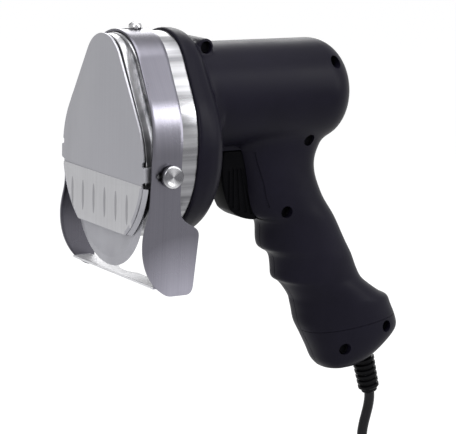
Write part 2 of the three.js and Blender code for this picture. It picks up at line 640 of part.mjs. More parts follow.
// Front and back of the grip in (x, z), from inside the barrel down to the heel, with half its width
const GRIP_STATIONS = [
  [50, 8, 116, 12, 15],
  [50.5, -4, 109.7, -3.3, 16],
  [54.5, -19, 105, -15.5, 16.8],
  [60.8, -43, 110.6, -34, 18],
  [71.3, -49, 119.4, -47.5, 18.5],
  [72.6, -61, 127.2, -61.5, 18.5],
  [74.1, -65, 129.8, -66, 18.5],
  [81.2, -69.6, 132.8, -71.5, 18.5],
  [83.1, -77, 136.6, -80, 18.5],
  [84, -84, 140.2, -86, 18.5],
  [89, -87.3, 144, -89.5, 18.8],
  [96.6, -97, 155.3, -97, 19.5],
  [98.5, -103.8, 161.8, -103, 20],
  [100.5, -112, 167, -112, 20],
  [105, -120, 167.4, -118.5, 20],
  [110, -129, 161, -125.5, 19],
  [115, -136.5, 150.5, -133.7, 16],
  [120.5, -140.5, 141.5, -138.4, 11],
];

function grip(inset) {
  const count = inset ? 12 : 20;
  const rings = [];
  GRIP_STATIONS.forEach(([fx, fz, bx, bz, half], level) => {
    const front = new THREE.Vector2(fx, fz);
    const back = new THREE.Vector2(bx, bz);
    const middle = front.clone().add(back).multiplyScalar(0.5);
    const along = back.clone().sub(front);
    const deep = along.length() / 2 - inset;
    along.normalize();
    const wide = (half * GRIP_HALF_W) / 18.5 - inset;
    const lift = level > GRIP_STATIONS.length - 4 ? inset : 0;
    const ring = [];
    for (let i = 0; i < count; i += 1) {
      const angle = (2 * Math.PI * i) / count;
      const [c, s] = [Math.cos(angle), Math.sin(angle)];
      const across = Math.sign(c) * Math.abs(c) ** 0.9 * deep;
      ring.push(new THREE.Vector3(middle.x + along.x * across, Math.sign(s) * Math.abs(s) ** 0.8 * wide,
        middle.y + along.y * across + lift));
    }
    rings.push(ring);
  });
  return loft(rings);
}

// Everything below the seam between the grip and its end cap, lowered by drop
function belowSeam(drop) {
  const reach = 120;
  const outline = new THREE.Shape();
  const level = (x) => SEAM_Z - drop + SEAM_SLOPE * (x - SEAM_X);
  outline.moveTo(SEAM_X - reach, level(SEAM_X - reach));
  outline.lineTo(SEAM_X - reach, SEAM_Z - reach);
  outline.lineTo(SEAM_X + reach, SEAM_Z - reach);
  outline.lineTo(SEAM_X + reach, level(SEAM_X + reach));
  outline.closePath();
  return sweepY(outline, -60, 60);
}

// Where the housing screws sit: [x, z, y of the counterbore's floor on the left, y of the right end]
const HOUSING_SCREWS = [
  [24, 54.6, -12, 13],
  [106, 44, -14, 15],
  [94, -1, -11, 12],
  [79.5, -41.5, -11, 12],
];
const CAP_SCREWS = [
  [123, -127, -12, 10],
  [152, -116, -10, 10],
];
const SCREW_HEAD_T = 2.5;

function screwCuts(shape, list) {
  let cut = shape;
  for (const [x, z, floor, end] of list) {
    cut = cut
      .subtract(rodY(COUNTERBORE_R, floor - 60, floor, x, z, 14))
      .subtract(rodY(SCREW_R + GAP, floor - 1, end, x, z, 8));
  }
  return cut;
}

function screws(list, prefix) {
  list.forEach(([x, z, floor, end], i) => {
    const head = floor - GAP;
    const shank = rodY(SCREW_R, head - 1, end - GAP, x, z, 8);
    const cap = rodY(SCREW_HEAD_R, head - SCREW_HEAD_T, head, x, z, 14);
    piece(`${prefix}_${i + 1}`, shank.add(cap), machinedSteel);
  });
}

// The trigger's outline in (x, z), grown for its slot
function triggerOutline(grow) {
  const outline = new THREE.Shape();
  const front = TRIGGER_FRONT_X - grow;
  const top = TRIGGER_TOP_Z + grow;
  const back = TRIGGER_BACK_X + grow;
  const toeX = TRIGGER_TOE_X;
  const toeZ = TRIGGER_TOE_Z - grow;
  const low = TRIGGER_LOW_Z - grow;
  outline.moveTo(front, top);
  outline.bezierCurveTo(front - 2, TRIGGER_TOP_Z - 12.4, front, TRIGGER_TOP_Z - 24.4, toeX - grow, toeZ);
  outline.bezierCurveTo(toeX + 4.5, toeZ - 4.5, toeX + 10.5, low + 0.4, back, low);
  outline.lineTo(back, top);
  outline.closePath();
  return outline;
}

const RELIEF_TOP = new THREE.Vector3(146.6, 0, -132.5);
const RELIEF_END = new THREE.Vector3(153.9, 0, -160);

function alongRelief(profile, sides) {
  const geometry = new THREE.LatheGeometry(profile.map(([r, h]) => new THREE.Vector2(r, h)), sides);
  const direction = RELIEF_END.clone().sub(RELIEF_TOP).normalize();
  geometry.applyQuaternion(new THREE.Quaternion().setFromUnitVectors(new THREE.Vector3(0, 1, 0), direction));
  geometry.translate(RELIEF_TOP.x, RELIEF_TOP.y, RELIEF_TOP.z);
  return upright(solid(geometry));
}

function housing() {
  const neckBoss = rodY(5, -17, 17, HOUSING_SCREWS[0][0], HOUSING_SCREWS[0][1], 16);
  const outside = union(bellOutside(), barrel(0, NECK_X - 6), grip(0), neckBoss);

  let hollow = barrel(WALL, NECK_X - 8);
  for (const x of [26, 66]) {
    hollow = hollow.subtract(ringX(BARREL_R - WALL + 1, MOTOR_R + GAP, x, x + 3, MOTOR_Z, 30));
  }
  hollow = union(
    hollow,
    rodX(MOTOR_R + GAP, HEAD_BACK_X, MOTOR_X1 + 1, MOTOR_Z, 30),
    sweepX(headOutline(GAP), -1, HEAD_BACK_X + GAP),
    sweepX(headOutline(-HEAD_WALL - 2), HEAD_BACK_X, BELL_L),
    grip(WALL),
  );
  for (const [x, z] of [...HOUSING_SCREWS.slice(1), ...CAP_SCREWS]) {
    hollow = hollow.subtract(rodY(BOSS_R, -40, 40, x, z, 14));
  }
  const switchX = TRIGGER_BACK_X + TRIGGER_TRAVEL + 0.5;
  const shelfTop = SWITCH_TOP_Z - SWITCH_H - GAP;
  hollow = hollow.subtract(box(switchX, switchX + SWITCH_L, -40, 40, shelfTop - 2.5, shelfTop));

  const slot = TRIGGER_HALF_W + RUN;
  let shell = outside.subtract(hollow)
    .subtract(sweepY(triggerOutline(RUN), -slot, slot))
    .subtract(box(TRIGGER_BACK_X - 1, switchX, -slot, slot, TRIGGER_LOW_Z - RUN, TRIGGER_TOP_Z + RUN));
  shell = screwCuts(shell, [...HOUSING_SCREWS, ...CAP_SCREWS]);

  const lower = belowSeam(0);
  const upper = shell.subtract(lower);
  const reach = 200;
  piece('housing_left', upper.intersect(box(-reach, reach, -reach, -GAP / 2, -reach, reach)), blackPlastic);
  piece('housing_right', upper.intersect(box(-reach, reach, GAP / 2, reach, -reach, reach)), blackPlastic);

  const lip = grip(WALL + GAP).subtract(grip(WALL + GAP + 2)).intersect(belowSeam(-SEAM_LIP)).subtract(belowSeam(2));
  const neckR = RELIEF_NECK_R + RUN;
  const flangeR = RELIEF_FLANGE_R + RUN;
  const ribR = RELIEF_R + RUN;
  const neck = alongRelief([[0, -20], [flangeR, -20], [flangeR, GAP], [neckR, GAP],
    [neckR, RELIEF_NECK_L - GAP], [ribR, RELIEF_NECK_L - GAP], [ribR, 30], [0, 30]], 24);
  const cap = shell.intersect(belowSeam(GAP)).add(lip).subtract(neck);
  piece('end_cap', screwCuts(cap, CAP_SCREWS), blackPlastic);

  piece('switch', box(switchX, switchX + SWITCH_L, -9, 9, SWITCH_TOP_Z - SWITCH_H, SWITCH_TOP_Z), darkPlastic);
  screws(HOUSING_SCREWS, 'housing_screw');
  screws(CAP_SCREWS, 'cap_screw');
}

function trigger() {
  let lever = sweepY(triggerOutline(0), -TRIGGER_HALF_W, TRIGGER_HALF_W, 10);
  for (const side of [-1, 1]) {
    for (let i = 0; i < 4; i += 1) {
      const x = 47 + i * 3.4;
      const groove = rodZ(0.7, TRIGGER_LOW_Z + 4.4, TRIGGER_TOP_Z - 1.4, x, side * TRIGGER_HALF_W, 8);
      lever = lever.subtract(groove);
    }
  }
  piece('trigger', lever, darkPlastic);
}

function strainRelief() {
  const length = RELIEF_END.distanceTo(RELIEF_TOP);
  const bore = CORD_D / 2 + 0.6;
  const profile = [[bore, -2], [RELIEF_FLANGE_R, -2], [RELIEF_FLANGE_R, 0], [RELIEF_NECK_R, 0],
    [RELIEF_NECK_R, RELIEF_NECK_L]];
  const ribs = 6;
  const tip = 1.4;
  const start = RELIEF_NECK_L;
  const pitch = (length - tip - start) / ribs;
  for (let i = 0; i < ribs; i += 1) {
    const r = RELIEF_R - (0.4 * i) / (ribs - 1);
    const h = start + i * pitch;
    profile.push([r, h], [r, h + pitch * 0.62], [r - 1, h + pitch * 0.72], [r - 1, h + pitch * 0.95]);
  }
  profile.push([4.8, length - tip], [4.8, length], [bore, length], [bore, -2]);
  piece('strain_relief', alongRelief(profile, 12), darkPlastic);
}

// The cord's free stretch in (x, z), from the strain relief down to the coil that hangs under the grip,
// with the share of the way to the coil's left layer
const CORD_ROUTE = [
  [146.8, -133.3, 0],
  [149.1, -142, 0],
  [151.6, -151.3, 0],
  [153.6, -159.3, 0],
  [154, -164.3, 0],
  [153.4, -169.3, 0],
  [152.1, -174.5, 0],
  [150.5, -180.5, 0],
  [149.6, -187, 0],
  [150.5, -194, 0],
  [153.2, -200.5, 0.05],
  [159.2, -207.7, 0.2],
  [165.2, -214.9, 0.4],
  [168.4, -223.7, 0.6],
  [168.4, -233.1, 0.8],
  [165.2, -241.9, 0.93],
  [159.2, -249.1, 1],
  [151.1, -253.8, 1],
  [146, -255.2, 1],
  [140.5, -255.5, 1],
];
const COIL_LAYER = COIL_PITCH / 2; // each layer's distance from the middle plane

function cord() {
  const route = new THREE.CatmullRomCurve3(CORD_ROUTE.map(([x, z, share]) => new THREE.Vector3(x, -share * COIL_LAYER, z)), false, 'centripetal');
  const section = new THREE.Shape();
  const sides = 8;
  for (let i = 0; i < sides; i += 1) {
    const angle = (2 * Math.PI * i) / sides;
    section[i ? 'lineTo' : 'moveTo']((CORD_D / 2) * Math.cos(angle), (CORD_D / 2) * Math.sin(angle));
  }
  section.closePath();
  const geometry = new THREE.ExtrudeGeometry(section, { steps: 22, bevelEnabled: false, extrudePath: route });
  piece('cord', upright(solid(geometry)), cordJacket);
  return route.getLength();
}

// Centre line of the coil: in on the left layer, across at the small end, out on the right layer, then straight down
function coilLine() {
  const [endX, endZ] = CORD_ROUTE[CORD_ROUTE.length - 1];
  const startX = endX - RUN;
  const middle = new THREE.Vector2(startX - CORD_D, endZ - COIL_R);
  const line = [new THREE.Vector3(startX, -COIL_LAYER, endZ)];
  const turns = COIL_TURNS_IN + 0.5 + COIL_TURNS_OUT;
  const small = COIL_R - COIL_PITCH * COIL_TURNS_IN;
  const steps = Math.round(turns * COIL_STEPS);
  let last;
  for (let i = 0; i <= steps; i += 1) {
    const turn = (i * turns) / steps;
    const across = THREE.MathUtils.clamp((turn - COIL_TURNS_IN) / 0.5, 0, 1);
    const grown = COIL_PITCH * Math.max(turn - COIL_TURNS_IN - 0.5, 0);
    const r = COIL_R - COIL_PITCH * Math.min(turn, COIL_TURNS_IN) + grown - COIL_LAYER * Math.sin(Math.PI * across);
    const y = THREE.MathUtils.lerp(-COIL_LAYER, COIL_LAYER, THREE.MathUtils.smoothstep(across, 0, 1));
    const angle = Math.PI / 2 + 2 * Math.PI * turn;
    last = new THREE.Vector3(middle.x + r * Math.cos(angle), y, middle.y + r * Math.sin(angle));
    line.push(last);
  }
  line.push(new THREE.Vector3(last.x, last.y, last.z - COIL_TAIL + CORD_D));
  line.push(new THREE.Vector3(last.x, last.y, last.z - COIL_TAIL));
  return { line, middle, small, end: line[line.length - 1] };
}

// A tube of few sides along a line of points
function tube(line, r, sides) {
  const rings = [];
  const normal = new THREE.Vector3(0, 1, 0);
  line.forEach((point, i) => {
    const ahead = line[Math.min(i + 1, line.length - 1)];
    const behind = line[Math.max(i - 1, 0)];
    const tangent = ahead.clone().sub(behind).normalize();
    const side = normal.clone().addScaledVector(tangent, -normal.dot(tangent)).normalize();
    const up = tangent.clone().cross(side);
    const ring = [];
    for (let j = 0; j < sides; j += 1) {
      const angle = (2 * Math.PI * (j + 0.5)) / sides;
      ring.push(point.clone().addScaledVector(side, r * Math.cos(angle)).addScaledVector(up, r * Math.sin(angle)));
    }
    rings.push(ring);
  });
  return loft(rings);
}

function leastGap(line, diameter) {
  let least = Infinity;
  const travelled = [0];
  for (let i = 1; i < line.length; i += 1) {
    travelled.push(travelled[i - 1] + line[i].distanceTo(line[i - 1]));
  }
  for (let i = 0; i < line.length; i += 1) {
    for (let j = i + 1; j < line.length; j += 1) {
      if (travelled[j] - travelled[i] > 4 * diameter) {
        least = Math.min(least, line[i].distanceTo(line[j]) - diameter);
      }
    }
  }
  return [least, travelled[travelled.length - 1]];
}

function coil(freeLength) {
  const { line, middle, small, end } = coilLine();
  piece('cord_coil', tube(line, CORD_D / 2, 6), cordJacket);
  const [gap, length] = leastGap(line, CORD_D);
  console.log(`coil: least gap to itself ${gap.toFixed(2)} mm, cord ${((freeLength + length) / 1000).toFixed(3)} m in all`);

  const slack = 0.3;
  const low = small - CORD_D / 2 - slack;
  const high = COIL_R + COIL_PITCH / 4 + CORD_D / 2 + slack;
  const half = COIL_LAYER + CORD_D / 2 + slack;
  const tilt = THREE.MathUtils.degToRad(14);
  const outer = new THREE.BoxGeometry(TIE_W, 2 * (half + TIE_T), high - low + 2 * TIE_T);
  const inner = new THREE.BoxGeometry(TIE_W + 2, 2 * half, high - low);
  for (const ring of [outer, inner]) {
    ring.translate(0, 0, (high + low) / 2);
    ring.rotateY(-tilt);
    ring.translate(middle.x, 0, middle.y);
  }
  piece('coil_tie', solid(outer).subtract(solid(inner)), darkPlastic);
  plug(end);
}

// A flat two-pin plug that hangs from the coil's tail
function plug(end) {
  const top = end.z - GAP;
  const rings = [
    [0, 4.6, 4.6], [8, 5.2, 5], [13, 8, 6], [20, 14, 6.6], [PLUG_L - 4, 17, 6.8], [PLUG_L - 1, 17, 6.8], [PLUG_L, 16, 5.8],
  ].map(([down, wide, thick]) => {
    const ring = [];
    const count = 16;
    for (let i = 0; i < count; i += 1) {
      const angle = (2 * Math.PI * i) / count;
      const [c, s] = [Math.cos(angle), Math.sin(angle)];
      ring.push(new THREE.Vector3(end.x + Math.sign(s) * Math.abs(s) ** 0.7 * thick,
        end.y + Math.sign(c) * Math.abs(c) ** 0.7 * wide, top - down));
    }
    return ring;
  });
  let shape = loft(rings);
  const face = top - PLUG_L;
  for (const [name, side] of [['plug_pin_left', -1], ['plug_pin_right', 1]]) {
    const y = end.y + (side * PIN_SPACING) / 2;
    const root = face + 8;
    shape = shape.subtract(rodZ(PIN_R + GAP, face - 1, root + GAP, end.x, y, 16));
    piece(name, rodZ(PIN_R, face - PIN_L, root, end.x, y, 16), brassPin);
  }
  piece('plug_body', shape, darkPlastic);
}

gearHead();
gearPlate();
gearTrain();
bladeUnit();
coverPlate();
guard();
thumbScrews();
motor();
housing();
trigger();
strainRelief();
coil(cord());

export default body;
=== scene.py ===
import bpy
import bmesh
import math
import numpy as np
from mathutils import Matrix, Vector
from mathutils.bvhtree import BVHTree


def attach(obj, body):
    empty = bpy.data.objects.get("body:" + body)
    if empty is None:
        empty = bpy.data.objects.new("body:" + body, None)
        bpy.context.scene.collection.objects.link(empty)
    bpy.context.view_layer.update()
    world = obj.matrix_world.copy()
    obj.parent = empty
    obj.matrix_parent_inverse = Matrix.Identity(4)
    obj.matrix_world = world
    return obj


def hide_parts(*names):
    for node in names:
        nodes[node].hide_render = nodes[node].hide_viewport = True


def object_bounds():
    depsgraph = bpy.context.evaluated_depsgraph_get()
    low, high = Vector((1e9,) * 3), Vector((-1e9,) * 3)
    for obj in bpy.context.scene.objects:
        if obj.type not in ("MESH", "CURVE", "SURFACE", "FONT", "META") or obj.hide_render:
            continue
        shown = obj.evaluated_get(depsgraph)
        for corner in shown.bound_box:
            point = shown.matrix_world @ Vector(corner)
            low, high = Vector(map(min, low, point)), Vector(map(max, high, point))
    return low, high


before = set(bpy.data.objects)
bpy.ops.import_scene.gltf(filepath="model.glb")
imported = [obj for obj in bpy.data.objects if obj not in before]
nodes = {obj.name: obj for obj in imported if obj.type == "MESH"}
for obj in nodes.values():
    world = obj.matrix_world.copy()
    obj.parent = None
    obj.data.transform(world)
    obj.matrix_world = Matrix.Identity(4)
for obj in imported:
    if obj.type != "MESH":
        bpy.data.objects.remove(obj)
cad_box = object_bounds()
scene = bpy.context.scene

# Sizes below are millimetres from the bell's front face; the shared frame has its origin in the grip.
GRIP_X = 105
GRIP_Z = -65
HEAD_R = 50
HEAD_ROUNDS = [(0, 0, HEAD_R), (0, 31.5, 31.5)]
HEAD_WALL = 4
HEAD_FRONT = -24
HEAD_BACK = 9
SLANT = 0.089
GUARD_T = 1.2
GUARD_CLEAR = 0.5
GUARD_FOOT_HALF = 47.3
GUARD_FOOT_Z = -75.5
SLOT_R = 2.3
SLIDE_FRONT = 2.6
SLIDE_BACK = 5.4
REACH = 60
COVER_X = -31
COVER_BACK = -29.8
BLADE_Z = -25.5
BLADE_X = -27.2
BLADE_BACK = -26
SCREW_X = -17
SCREW_Z = -9
HEAD_TOP = 63
TOP_SCREW_X = SCREW_X + SLANT * HEAD_TOP
TRIGGER_TOP = -5.6
TRIGGER_LOW = -46.4
TRIGGER_HALF = 8
CORD_D = 6.2
COIL_R = 48.5
COIL_PITCH = 6.7
GAP = 0.3
RUN = 0.4
WALL = 3
BELL_RIM = 1.8
BELL_L = 13
NECK_X = 22
BARREL_R = 30
BARREL_X1 = 120.3
BARREL_ROUND = 19
MOTOR_R = 23.5
MOTOR_Z = 26
SEAM_X = 120
SEAM_Z = -115
SEAM_SLOPE = 0.12
RELIEF_TOP = Vector((146.6, 0, -132.5))
RELIEF_END = Vector((153.9, 0, -160))


def place(x, y, z):
    """A point in the shared frame, in metres."""
    return Vector(((x - GRIP_X) / 1000, y / 1000, (z - GRIP_Z) / 1000))


EYE = (-556, -994, 175)
EYE_ANGLES = (-31.4, 10.7, 1.3)
FOCAL_PIXELS = 2077
IMAGE_WIDTH = 456
SENSOR = 36


def added(name, data):
    """A new object in the scene."""
    thing = bpy.data.objects.new(name, data)
    scene.collection.objects.link(thing)
    return thing


def camera():
    """The photograph's viewpoint: left front quarter, a little above the barrel."""
    turn, lift, roll = (math.radians(a) for a in EYE_ANGLES)
    right = Vector((math.cos(turn), math.sin(turn), 0))
    back = Vector((math.sin(turn) * math.cos(lift), -math.cos(turn) * math.cos(lift), math.sin(lift)))
    up = back.cross(right)
    level_right = math.cos(roll) * right + math.sin(roll) * up
    level_up = -math.sin(roll) * right + math.cos(roll) * up
    lens = bpy.data.cameras.new("photo_camera")
    lens.sensor_width = SENSOR
    lens.lens = FOCAL_PIXELS / IMAGE_WIDTH * SENSOR
    lens.clip_start = 0.05
    lens.clip_end = 50
    eye = added("photo_camera", lens)
    stance = Matrix((level_right, level_up, back)).transposed().to_4x4()
    stance.translation = place(*EYE)
    eye.matrix_world = stance
    scene.camera = eye


# Finishes

def join(start, end):
    """A link between two sockets of one node tree."""
    end.id_data.links.new(start, end)


def node(tree, kind, **values):
    """A new node with some of its inputs set."""
    made = tree.nodes.new(kind)
    for label, value in values.items():
        made.inputs[label.replace("_", " ")].default_value = value
    return made


def finish(name, colour, rough, metal=0.0):
    """A principled finish with its object coordinates ready."""
    mat = bpy.data.materials.new(name)
    mat.use_nodes = True
    tree = mat.node_tree
    shader = tree.nodes["Principled BSDF"]
    for label, value in (("Base Color", (*colour, 1)), ("Roughness", rough), ("Metallic", metal)):
        shader.inputs[label].default_value = value
    coords = node(tree, "ShaderNodeTexCoord")
    return mat, tree, shader, coords.outputs["Object"]


def noise(tree, coords, stretch, detail=4.0):
    """A noise pattern with its own stretch along each axis, in steps per metre."""
    mapping = node(tree, "ShaderNodeMapping", Scale=stretch)
    join(coords, mapping.inputs["Vector"])
    pattern = node(tree, "ShaderNodeTexNoise", Scale=1.0, Detail=detail)
    join(mapping.outputs["Vector"], pattern.inputs["Vector"])
    return pattern.outputs["Fac"]


def sums(tree, operation, *values):
    """One sum on patterns and plain numbers."""
    made = node(tree, "ShaderNodeMath")
    made.operation = operation
    for socket, value in zip(made.inputs, values):
        if isinstance(value, (int, float)):
            socket.default_value = value
        else:
            join(value, socket)
    return made.outputs["Value"]


def span(tree, value, low, high, start=0.3, stop=0.7):
    """A pattern's middle range stretched to the range low to high."""
    ranged = node(tree, "ShaderNodeMapRange", From_Min=start, From_Max=stop, To_Min=low, To_Max=high)
    join(value, ranged.inputs["Value"])
    return ranged.outputs["Result"]


def tints(tree, value, dark, light, start=0.3, stop=0.7):
    """A pattern as a colour between two shades."""
    ramp = node(tree, "ShaderNodeValToRGB")
    ramp.color_ramp.elements[0].position = start
    ramp.color_ramp.elements[0].color = (*dark, 1)
    ramp.color_ramp.elements[1].position = stop
    ramp.color_ramp.elements[1].color = (*light, 1)
    join(value, ramp.inputs["Fac"])
    return ramp.outputs["Color"]


def bump(tree, shader, height, strength, distance):
    """A relief from a pattern, its depth in metres."""
    relief = node(tree, "ShaderNodeBump", Strength=strength, Distance=distance)
    join(height, relief.inputs["Height"])
    join(relief.outputs["Normal"], shader.inputs["Normal"])


def moulded(name, dark, light, low, high, grain=2600, gloss=0.3):
    """Moulded plastic: fine spark-eroded grain, broad patches of sheen."""
    mat, tree, shader, coords = finish(name, light, (low + high) / 2)
    shader.inputs["Specular IOR Level"].default_value = gloss
    patches = noise(tree, coords, (28, 28, 28), 3)
    fine = noise(tree, coords, (grain, grain, grain), 2)
    join(tints(tree, patches, dark, light), shader.inputs["Base Color"])
    join(span(tree, patches, low, high), shader.inputs["Roughness"])
    bump(tree, shader, fine, 0.25, 0.00008)
    return mat


def brushed(name, dark, light, low, high, stretch, depth=0.1, metal=1.0):
    """Metal with fine lines along the axis of the least stretch."""
    mat, tree, shader, coords = finish(name, light, (low + high) / 2, metal)
    lines = noise(tree, coords, stretch, 5)
    clouds = noise(tree, coords, (22, 22, 22), 3)
    join(tints(tree, lines, dark, light), shader.inputs["Base Color"])
    join(span(tree, clouds, low, high), shader.inputs["Roughness"])
    bump(tree, shader, lines, depth, 0.00006)
    return mat


# Angle and depth of the painted reflection wedge pattern on turned faces.
PAINTED_WEDGE_TURN = 2.2
PAINTED_WEDGE_DEPTH = 0.26


def turned(name, dark, light, low, high, centre, along="X", rings=900, painted_wedge_count=0,
           metal=1.0):
    """Metal turned on a lathe: rings round an axis and, when asked, wedge-shaped painted reflections, the
    base colour swung lighter and darker round the axis.
    """
    mat, tree, shader, coords = finish(name, light, (low + high) / 2, metal)
    mapping = node(tree, "ShaderNodeMapping", Location=[-v for v in centre])
    join(coords, mapping.inputs["Vector"])
    wave = node(tree, "ShaderNodeTexWave", Scale=rings, Distortion=1.2, Detail=3)
    wave.wave_type = "RINGS"
    wave.rings_direction = along
    join(mapping.outputs["Vector"], wave.inputs["Vector"])
    shade = noise(tree, coords, (60, 60, 60), 4)
    # Painted reflection: the base colour swings lighter and darker round the axis, as light caught on
    # turned rings would.
    if painted_wedge_count:
        upright = node(tree, "ShaderNodeMapping", Rotation=(math.pi / 2, 0, PAINTED_WEDGE_TURN))
        join(mapping.outputs["Vector"], upright.inputs["Vector"])
        sweep = node(tree, "ShaderNodeTexGradient")
        sweep.gradient_type = "RADIAL"
        join(upright.outputs["Vector"], sweep.inputs["Vector"])
        swing = sums(tree, "SINE", sums(tree, "MULTIPLY", sweep.outputs["Fac"], 2 * math.pi * painted_wedge_count))
        shade = sums(tree, "MULTIPLY_ADD", swing, PAINTED_WEDGE_DEPTH, shade)
    join(tints(tree, shade, dark, light), shader.inputs["Base Color"])
    join(span(tree, wave.outputs["Fac"], low, high, 0, 1), shader.inputs["Roughness"])
    bump(tree, shader, wave.outputs["Fac"], 0.12, 0.00005)
    return mat


def painted_light_pool(mat, centre, near, far, gain):
    """A painted pool of light: the sheet's colour made paler round a spot, fading out with distance."""
    tree = mat.node_tree
    shader = tree.nodes["Principled BSDF"]
    coords = node(tree, "ShaderNodeTexCoord")
    away = node(tree, "ShaderNodeVectorMath")
    away.operation = "DISTANCE"
    away.inputs[1].default_value = centre
    join(coords.outputs["Object"], away.inputs[0])
    paler = node(tree, "ShaderNodeVectorMath")
    paler.operation = "SCALE"
    join(shader.inputs["Base Color"].links[0].from_socket, paler.inputs[0])
    gains = span(tree, away.outputs["Value"], gain, 1, near / 1000, far / 1000)
    join(gains, paler.inputs["Scale"])
    join(paler.outputs["Vector"], shader.inputs["Base Color"])


BODY = moulded("moulded_black_body", (0.0038, 0.0034, 0.0068), (0.0054, 0.0048, 0.0094), 0.36, 0.46,
               2600, 0.055)
SOFT_BLACK = moulded("soft_black_trigger", (0.0010, 0.0010, 0.0014), (0.0019, 0.0019, 0.0025), 0.34,
                     0.44, 3400, 0.02)
GLOSS_BLACK = moulded("gloss_black_relief", (0.0014, 0.0014, 0.0018), (0.0026, 0.0026, 0.0032), 0.24,
                      0.34, 3000, 0.06)
JACKET = moulded("cord_jacket", (0.0028, 0.0028, 0.0034), (0.0050, 0.0050, 0.0062), 0.22, 0.32, 3000,
                 0.16)
SHEET = brushed("brushed_guard_sheet", (0.112, 0.109, 0.128), (0.126, 0.123, 0.143), 0.26, 0.32,
                (1500, 9, 9), 0.05)
# Painted light: the near side plate's colour made paler towards its foot, round this spot.
painted_light_pool(SHEET, place(-6, -48, -80), 9, 38, 2.6)
# Painted light: a paler, less metallic copy of the guard's own steel, for the faces of the bar under the
# blade.
PAINTED_LIGHT_BAR = brushed("brushed_guard_bar", (0.50, 0.50, 0.515), (0.58, 0.58, 0.595), 0.45, 0.55, (900, 9, 9),
              0.05, 0.3)
PLATE = brushed("brushed_cover_sheet", (0.335, 0.335, 0.36), (0.35, 0.35, 0.375), 0.42, 0.50,
                (9, 1300, 9), 0.03)
PANEL = brushed("pressed_rib_sheet", (0.42, 0.42, 0.435), (0.46, 0.46, 0.475), 0.36, 0.46,
                (9, 900, 12), 0.04)
# Painted shade: a darker copy of the panel's steel for the groove walls beside the ribs, where the rib
# flanks fall into shade.
PAINTED_RIB_SHADE = brushed("pressed_rib_shade", (0.29, 0.29, 0.305), (0.34, 0.34, 0.355), 0.45, 0.55,
                 (9, 900, 12), 0.04)
RING = brushed("turned_head_aluminium", (0.09, 0.09, 0.098), (0.38, 0.38, 0.392), 0.22, 0.36,
               (5, 170, 170), 0.10)
RIM = brushed("turned_rim_aluminium", (0.36, 0.36, 0.374), (0.58, 0.58, 0.594), 0.26, 0.38,
              (5, 120, 120), 0.08)
GROUND = turned("ground_blade_steel", (0.27, 0.27, 0.292), (0.32, 0.32, 0.345), 0.36, 0.50,
                place(BLADE_X, 0, BLADE_Z), metal=0.6)
# The knob faces carry painted reflection: two light and two dark wedge-shaped sectors in the base colour.
KNOB = turned("turned_knob_steel", (0.13, 0.13, 0.14), (0.50, 0.50, 0.515), 0.16, 0.30,
              place(SCREW_X, 0, SCREW_Z), "Y", 1400, 2)
CROWN = turned("turned_crown_steel", (0.30, 0.30, 0.31), (0.46, 0.46, 0.47), 0.22, 0.34,
               place(TOP_SCREW_X, 0, HEAD_TOP), "Z", 1400)
STEEL = brushed("machined_steel", (0.34, 0.34, 0.35), (0.46, 0.46, 0.47), 0.28, 0.42, (700, 60, 60))
# Painted shade: the screws made near black, so that the screw bores read as dark holes.
PAINTED_SHADE_SCREW = brushed("blackened_screw", (0.0012, 0.0012, 0.0016), (0.0040, 0.0040, 0.0050), 0.40, 0.55,
                (90, 600, 90))
COPPER = brushed("varnished_copper", (0.40, 0.16, 0.06), (0.62, 0.28, 0.12), 0.28, 0.42, (40, 900, 900))
CARBON = moulded("sintered_carbon", (0.020, 0.020, 0.021), (0.045, 0.045, 0.046), 0.6, 0.75, 1800)
BRASS = brushed("plated_pin", (0.55, 0.50, 0.38), (0.70, 0.64, 0.50), 0.2, 0.3, (90, 90, 900))


# Meshes

def around(count):
    """Cosine and sine at even steps round a circle."""
    angles = [2 * math.pi * i / count for i in range(count)]
    return [(math.cos(a), math.sin(a)) for a in angles]


def skin(rounds, grow, count):
    """Points (y, z) of the tight skin round some circles, grown alike."""
    points = []
    for c, s in around(count):
        y, z, r = max(rounds, key=lambda k: k[0] * c + k[1] * s + k[2])
        points.append((y + (r + grow) * c, z + (r + grow) * s))
    return points


def dense_skin(rounds, grow, count=160):
    """The same skin with its points spread evenly along it."""
    loop = skin(rounds, grow, 720)
    return even(loop + loop[:1], count + 1)[:-1]


def even(line, count):
    """A line of points set out again at even steps."""
    line = np.array(line, dtype=float)
    steps = np.concatenate([[0], np.cumsum(np.linalg.norm(np.diff(line, axis=0), axis=1))])
    at = np.linspace(0, steps[-1], count)
    return [tuple(np.interp(t, steps, line[:, k]) for k in range(line.shape[1])) for t in at]


def band_faces(bm, rows):
    """The faces between closed rows of vertices, all of one count."""
    count = len(rows[0])
    for low, high in zip(rows, rows[1:]):
        for i in range(count):
            j = (i + 1) % count
            bm.faces.new((low[i], low[j], high[j], high[i]))


def loft(bm, rings, closed_ends=True):
    """A skin through rings of millimetre points."""
    rows = [[bm.verts.new(place(*p)) for p in ring] for ring in rings]
    band_faces(bm, rows)
    if closed_ends:
        bm.faces.new(list(reversed(rows[0])))
        bm.faces.new(rows[-1])


def lathe(profile, origin, axis, sides=96):
    """Rings of millimetre points from (distance, radius) pairs along an axis."""
    axis = Vector(axis).normalized()
    side = axis.orthogonal().normalized()
    other = axis.cross(side)
    rings = []
    for along, r in profile:
        centre = Vector(origin) + axis * along
        rings.append([tuple(centre + side * (r * c) + other * (r * s)) for c, s in around(sides)])
    return rings


def shaded(bm, sharp):
    """Smooth shading with the hard edges kept."""
    limit = math.radians(sharp)
    for face in bm.faces:
        face.smooth = True
    for edge in bm.edges:
        edge.smooth = len(edge.link_faces) == 2 and edge.calc_face_angle(0) < limit


